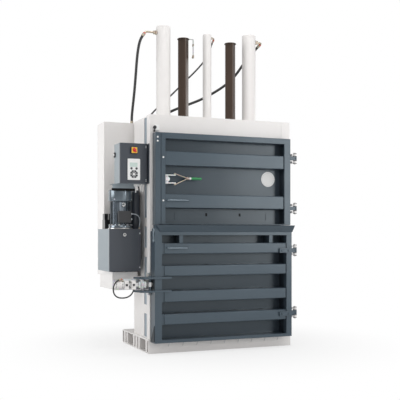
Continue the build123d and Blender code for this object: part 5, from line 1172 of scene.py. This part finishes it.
@dataclass(frozen=True)
class Studio:
    """The floor, the lamps, the white surroundings and the camera, in metres."""

    camera_place: Point = (-2.754, -6.615, 1.04)
    camera_turn: float = -22.2
    lens: float = 67.95
    sensor: float = 36.0
    rise: float = 0.085
    floor_size: float = 60.0
    fade: Span = (0.6, 2.1)
    fade_share: Span = (0.7, 1.0)
    ambient: float = 0.44
    centre: Point = (0.0, 0.0, 1.3)

    def add_camera(self) -> None:
        """Sets the camera up at the photograph's angle."""
        data = bpy.data.cameras.new("camera")
        data.lens = self.lens
        data.sensor_width = self.sensor
        data.shift_y = self.rise
        camera = placed("camera", data)
        camera.location = self.camera_place
        camera.rotation_euler = (math.radians(90), 0.0, math.radians(self.camera_turn))
        bpy.context.scene.camera = camera

    def add_lamp(self, name: str, place: Point, target: Point, size: float, watts: float) -> None:
        """Adds one square soft lamp.

        Args:
            name: The lamp's name.
            place: Where it stands.
            target: The point that it faces.
            size: The length of its side.
            watts: Its power.
        """
        data = bpy.data.lights.new(name, "AREA")
        data.size = size
        data.energy = watts
        lamp = placed(name, data)
        lamp.visible_camera = False
        lamp.location = place
        lamp.rotation_euler = (Vector(target) - Vector(place)).to_track_quat("-Z", "Y").to_euler()

    def add_world(self) -> None:
        """Makes the surroundings white to look at and softer as a light."""
        world = bpy.data.worlds.new("surroundings")
        world.use_nodes = True
        bpy.context.scene.world = world
        nodes = Nodes(world.node_tree)
        shown = nodes.feed(world.node_tree.nodes["Background"], {"Color": PURE_WHITE, "Strength": 1.0})
        lit = nodes.add("ShaderNodeBackground", {"Color": PURE_WHITE, "Strength": self.ambient})
        nodes.end(nodes.seen(), lit.outputs[0], shown.outputs[0], "World Output")

    def add_floor(self) -> None:
        """Lays a pale floor that keeps the soft shadow and fades to white away from the machine."""
        half = self.floor_size / 2
        edges = [(-half, -half, 0), (half, -half, 0), (half, half, 0), (-half, half, 0)]
        mesh = bpy.data.meshes.new("floor")
        mesh.from_pydata(edges, [], [(0, 1, 2, 3)])
        made = bpy.data.materials.new("pale_floor")
        made.use_nodes = True
        nodes = Nodes(made.node_tree)
        made.node_tree.nodes.remove(made.node_tree.nodes["Principled BSDF"])
        diffuse = nodes.add("ShaderNodeBsdfDiffuse", {"Color": FLOOR_GREY}).outputs[0]
        glow = nodes.add("ShaderNodeEmission", {"Color": PURE_WHITE}).outputs[0]
        reach = nodes.add("ShaderNodeVectorMath", {0: nodes.place()}, operation="LENGTH").outputs["Value"]
        fade = nodes.ramp(reach, self.fade, self.fade_share, interpolation_type="SMOOTHSTEP")
        nodes.end(nodes.maths("MULTIPLY", fade, nodes.seen()), diffuse, glow, "Material Output")
        mesh.materials.append(made)
        placed("floor", mesh)

    def build(self) -> None:
        """Sets the whole studio up."""
        bpy.context.scene.view_settings.view_transform = "Standard"
        self.add_camera()
        self.add_world()
        self.add_floor()
        for lamp in (
            ("left_lamp", (-6.5, 0.6, 2.6), (-0.7, 0.0, 1.2), 3.6, 150.0),
            ("rear_left_lamp", (-4.2, 7.5, 1.6), (-0.7, -0.4, 1.2), 4.0, 50.0),
            ("right_lamp", (4.3, -6.6, 2.0), self.centre, 2.6, 105.0),
            ("side_lamp", (6.8, 2.4, 2.6), self.centre, 3.5, 75.0),
            ("low_lamp", (1.0, -5.5, 0.5), (0.0, 0.0, 0.9), 2.4, 14.0),
            ("front_lamp", (-2.0, -8.0, 4.5), self.centre, 4.5, 85.0),
            ("top_lamp", (0.0, -1.6, 6.3), self.centre, 3.0, 120.0),
        ):
            self.add_lamp(*lamp)
        log.info("studio ready")


def dress_nodes() -> None:
    """Gives every frame node its finish and eases the edges of the sheet and plate work."""
    for finish, nodes in NODE_FINISHES.items():
        for name in nodes:
            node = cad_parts[name]
            node.data.materials.clear()
            node.data.materials.append(finish.material())
            weld = node.modifiers.new("weld", "WELD")
            weld.merge_threshold = WELD_REACH
            ease(node, NODE_EDGES.get(name, SHEET_EDGE))


def main() -> None:
    """Builds the studio, the hoses, the trim and the dressed machine."""
    logging.basicConfig(level=logging.INFO, format="%(message)s")
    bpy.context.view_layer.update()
    Studio().build()
    for hose in HOSES:
        hose.build()
    for assembly in (
        HoseEnds(), DoorTrim(), BaleDoorTrim(), FrameTrim(), PowerPackTrim(), CabinetTrim(), LockTrim(),
        CylinderTrim(),
    ):
        assembly.build()
    dress_nodes()


if __name__ == "__main__":
    main()
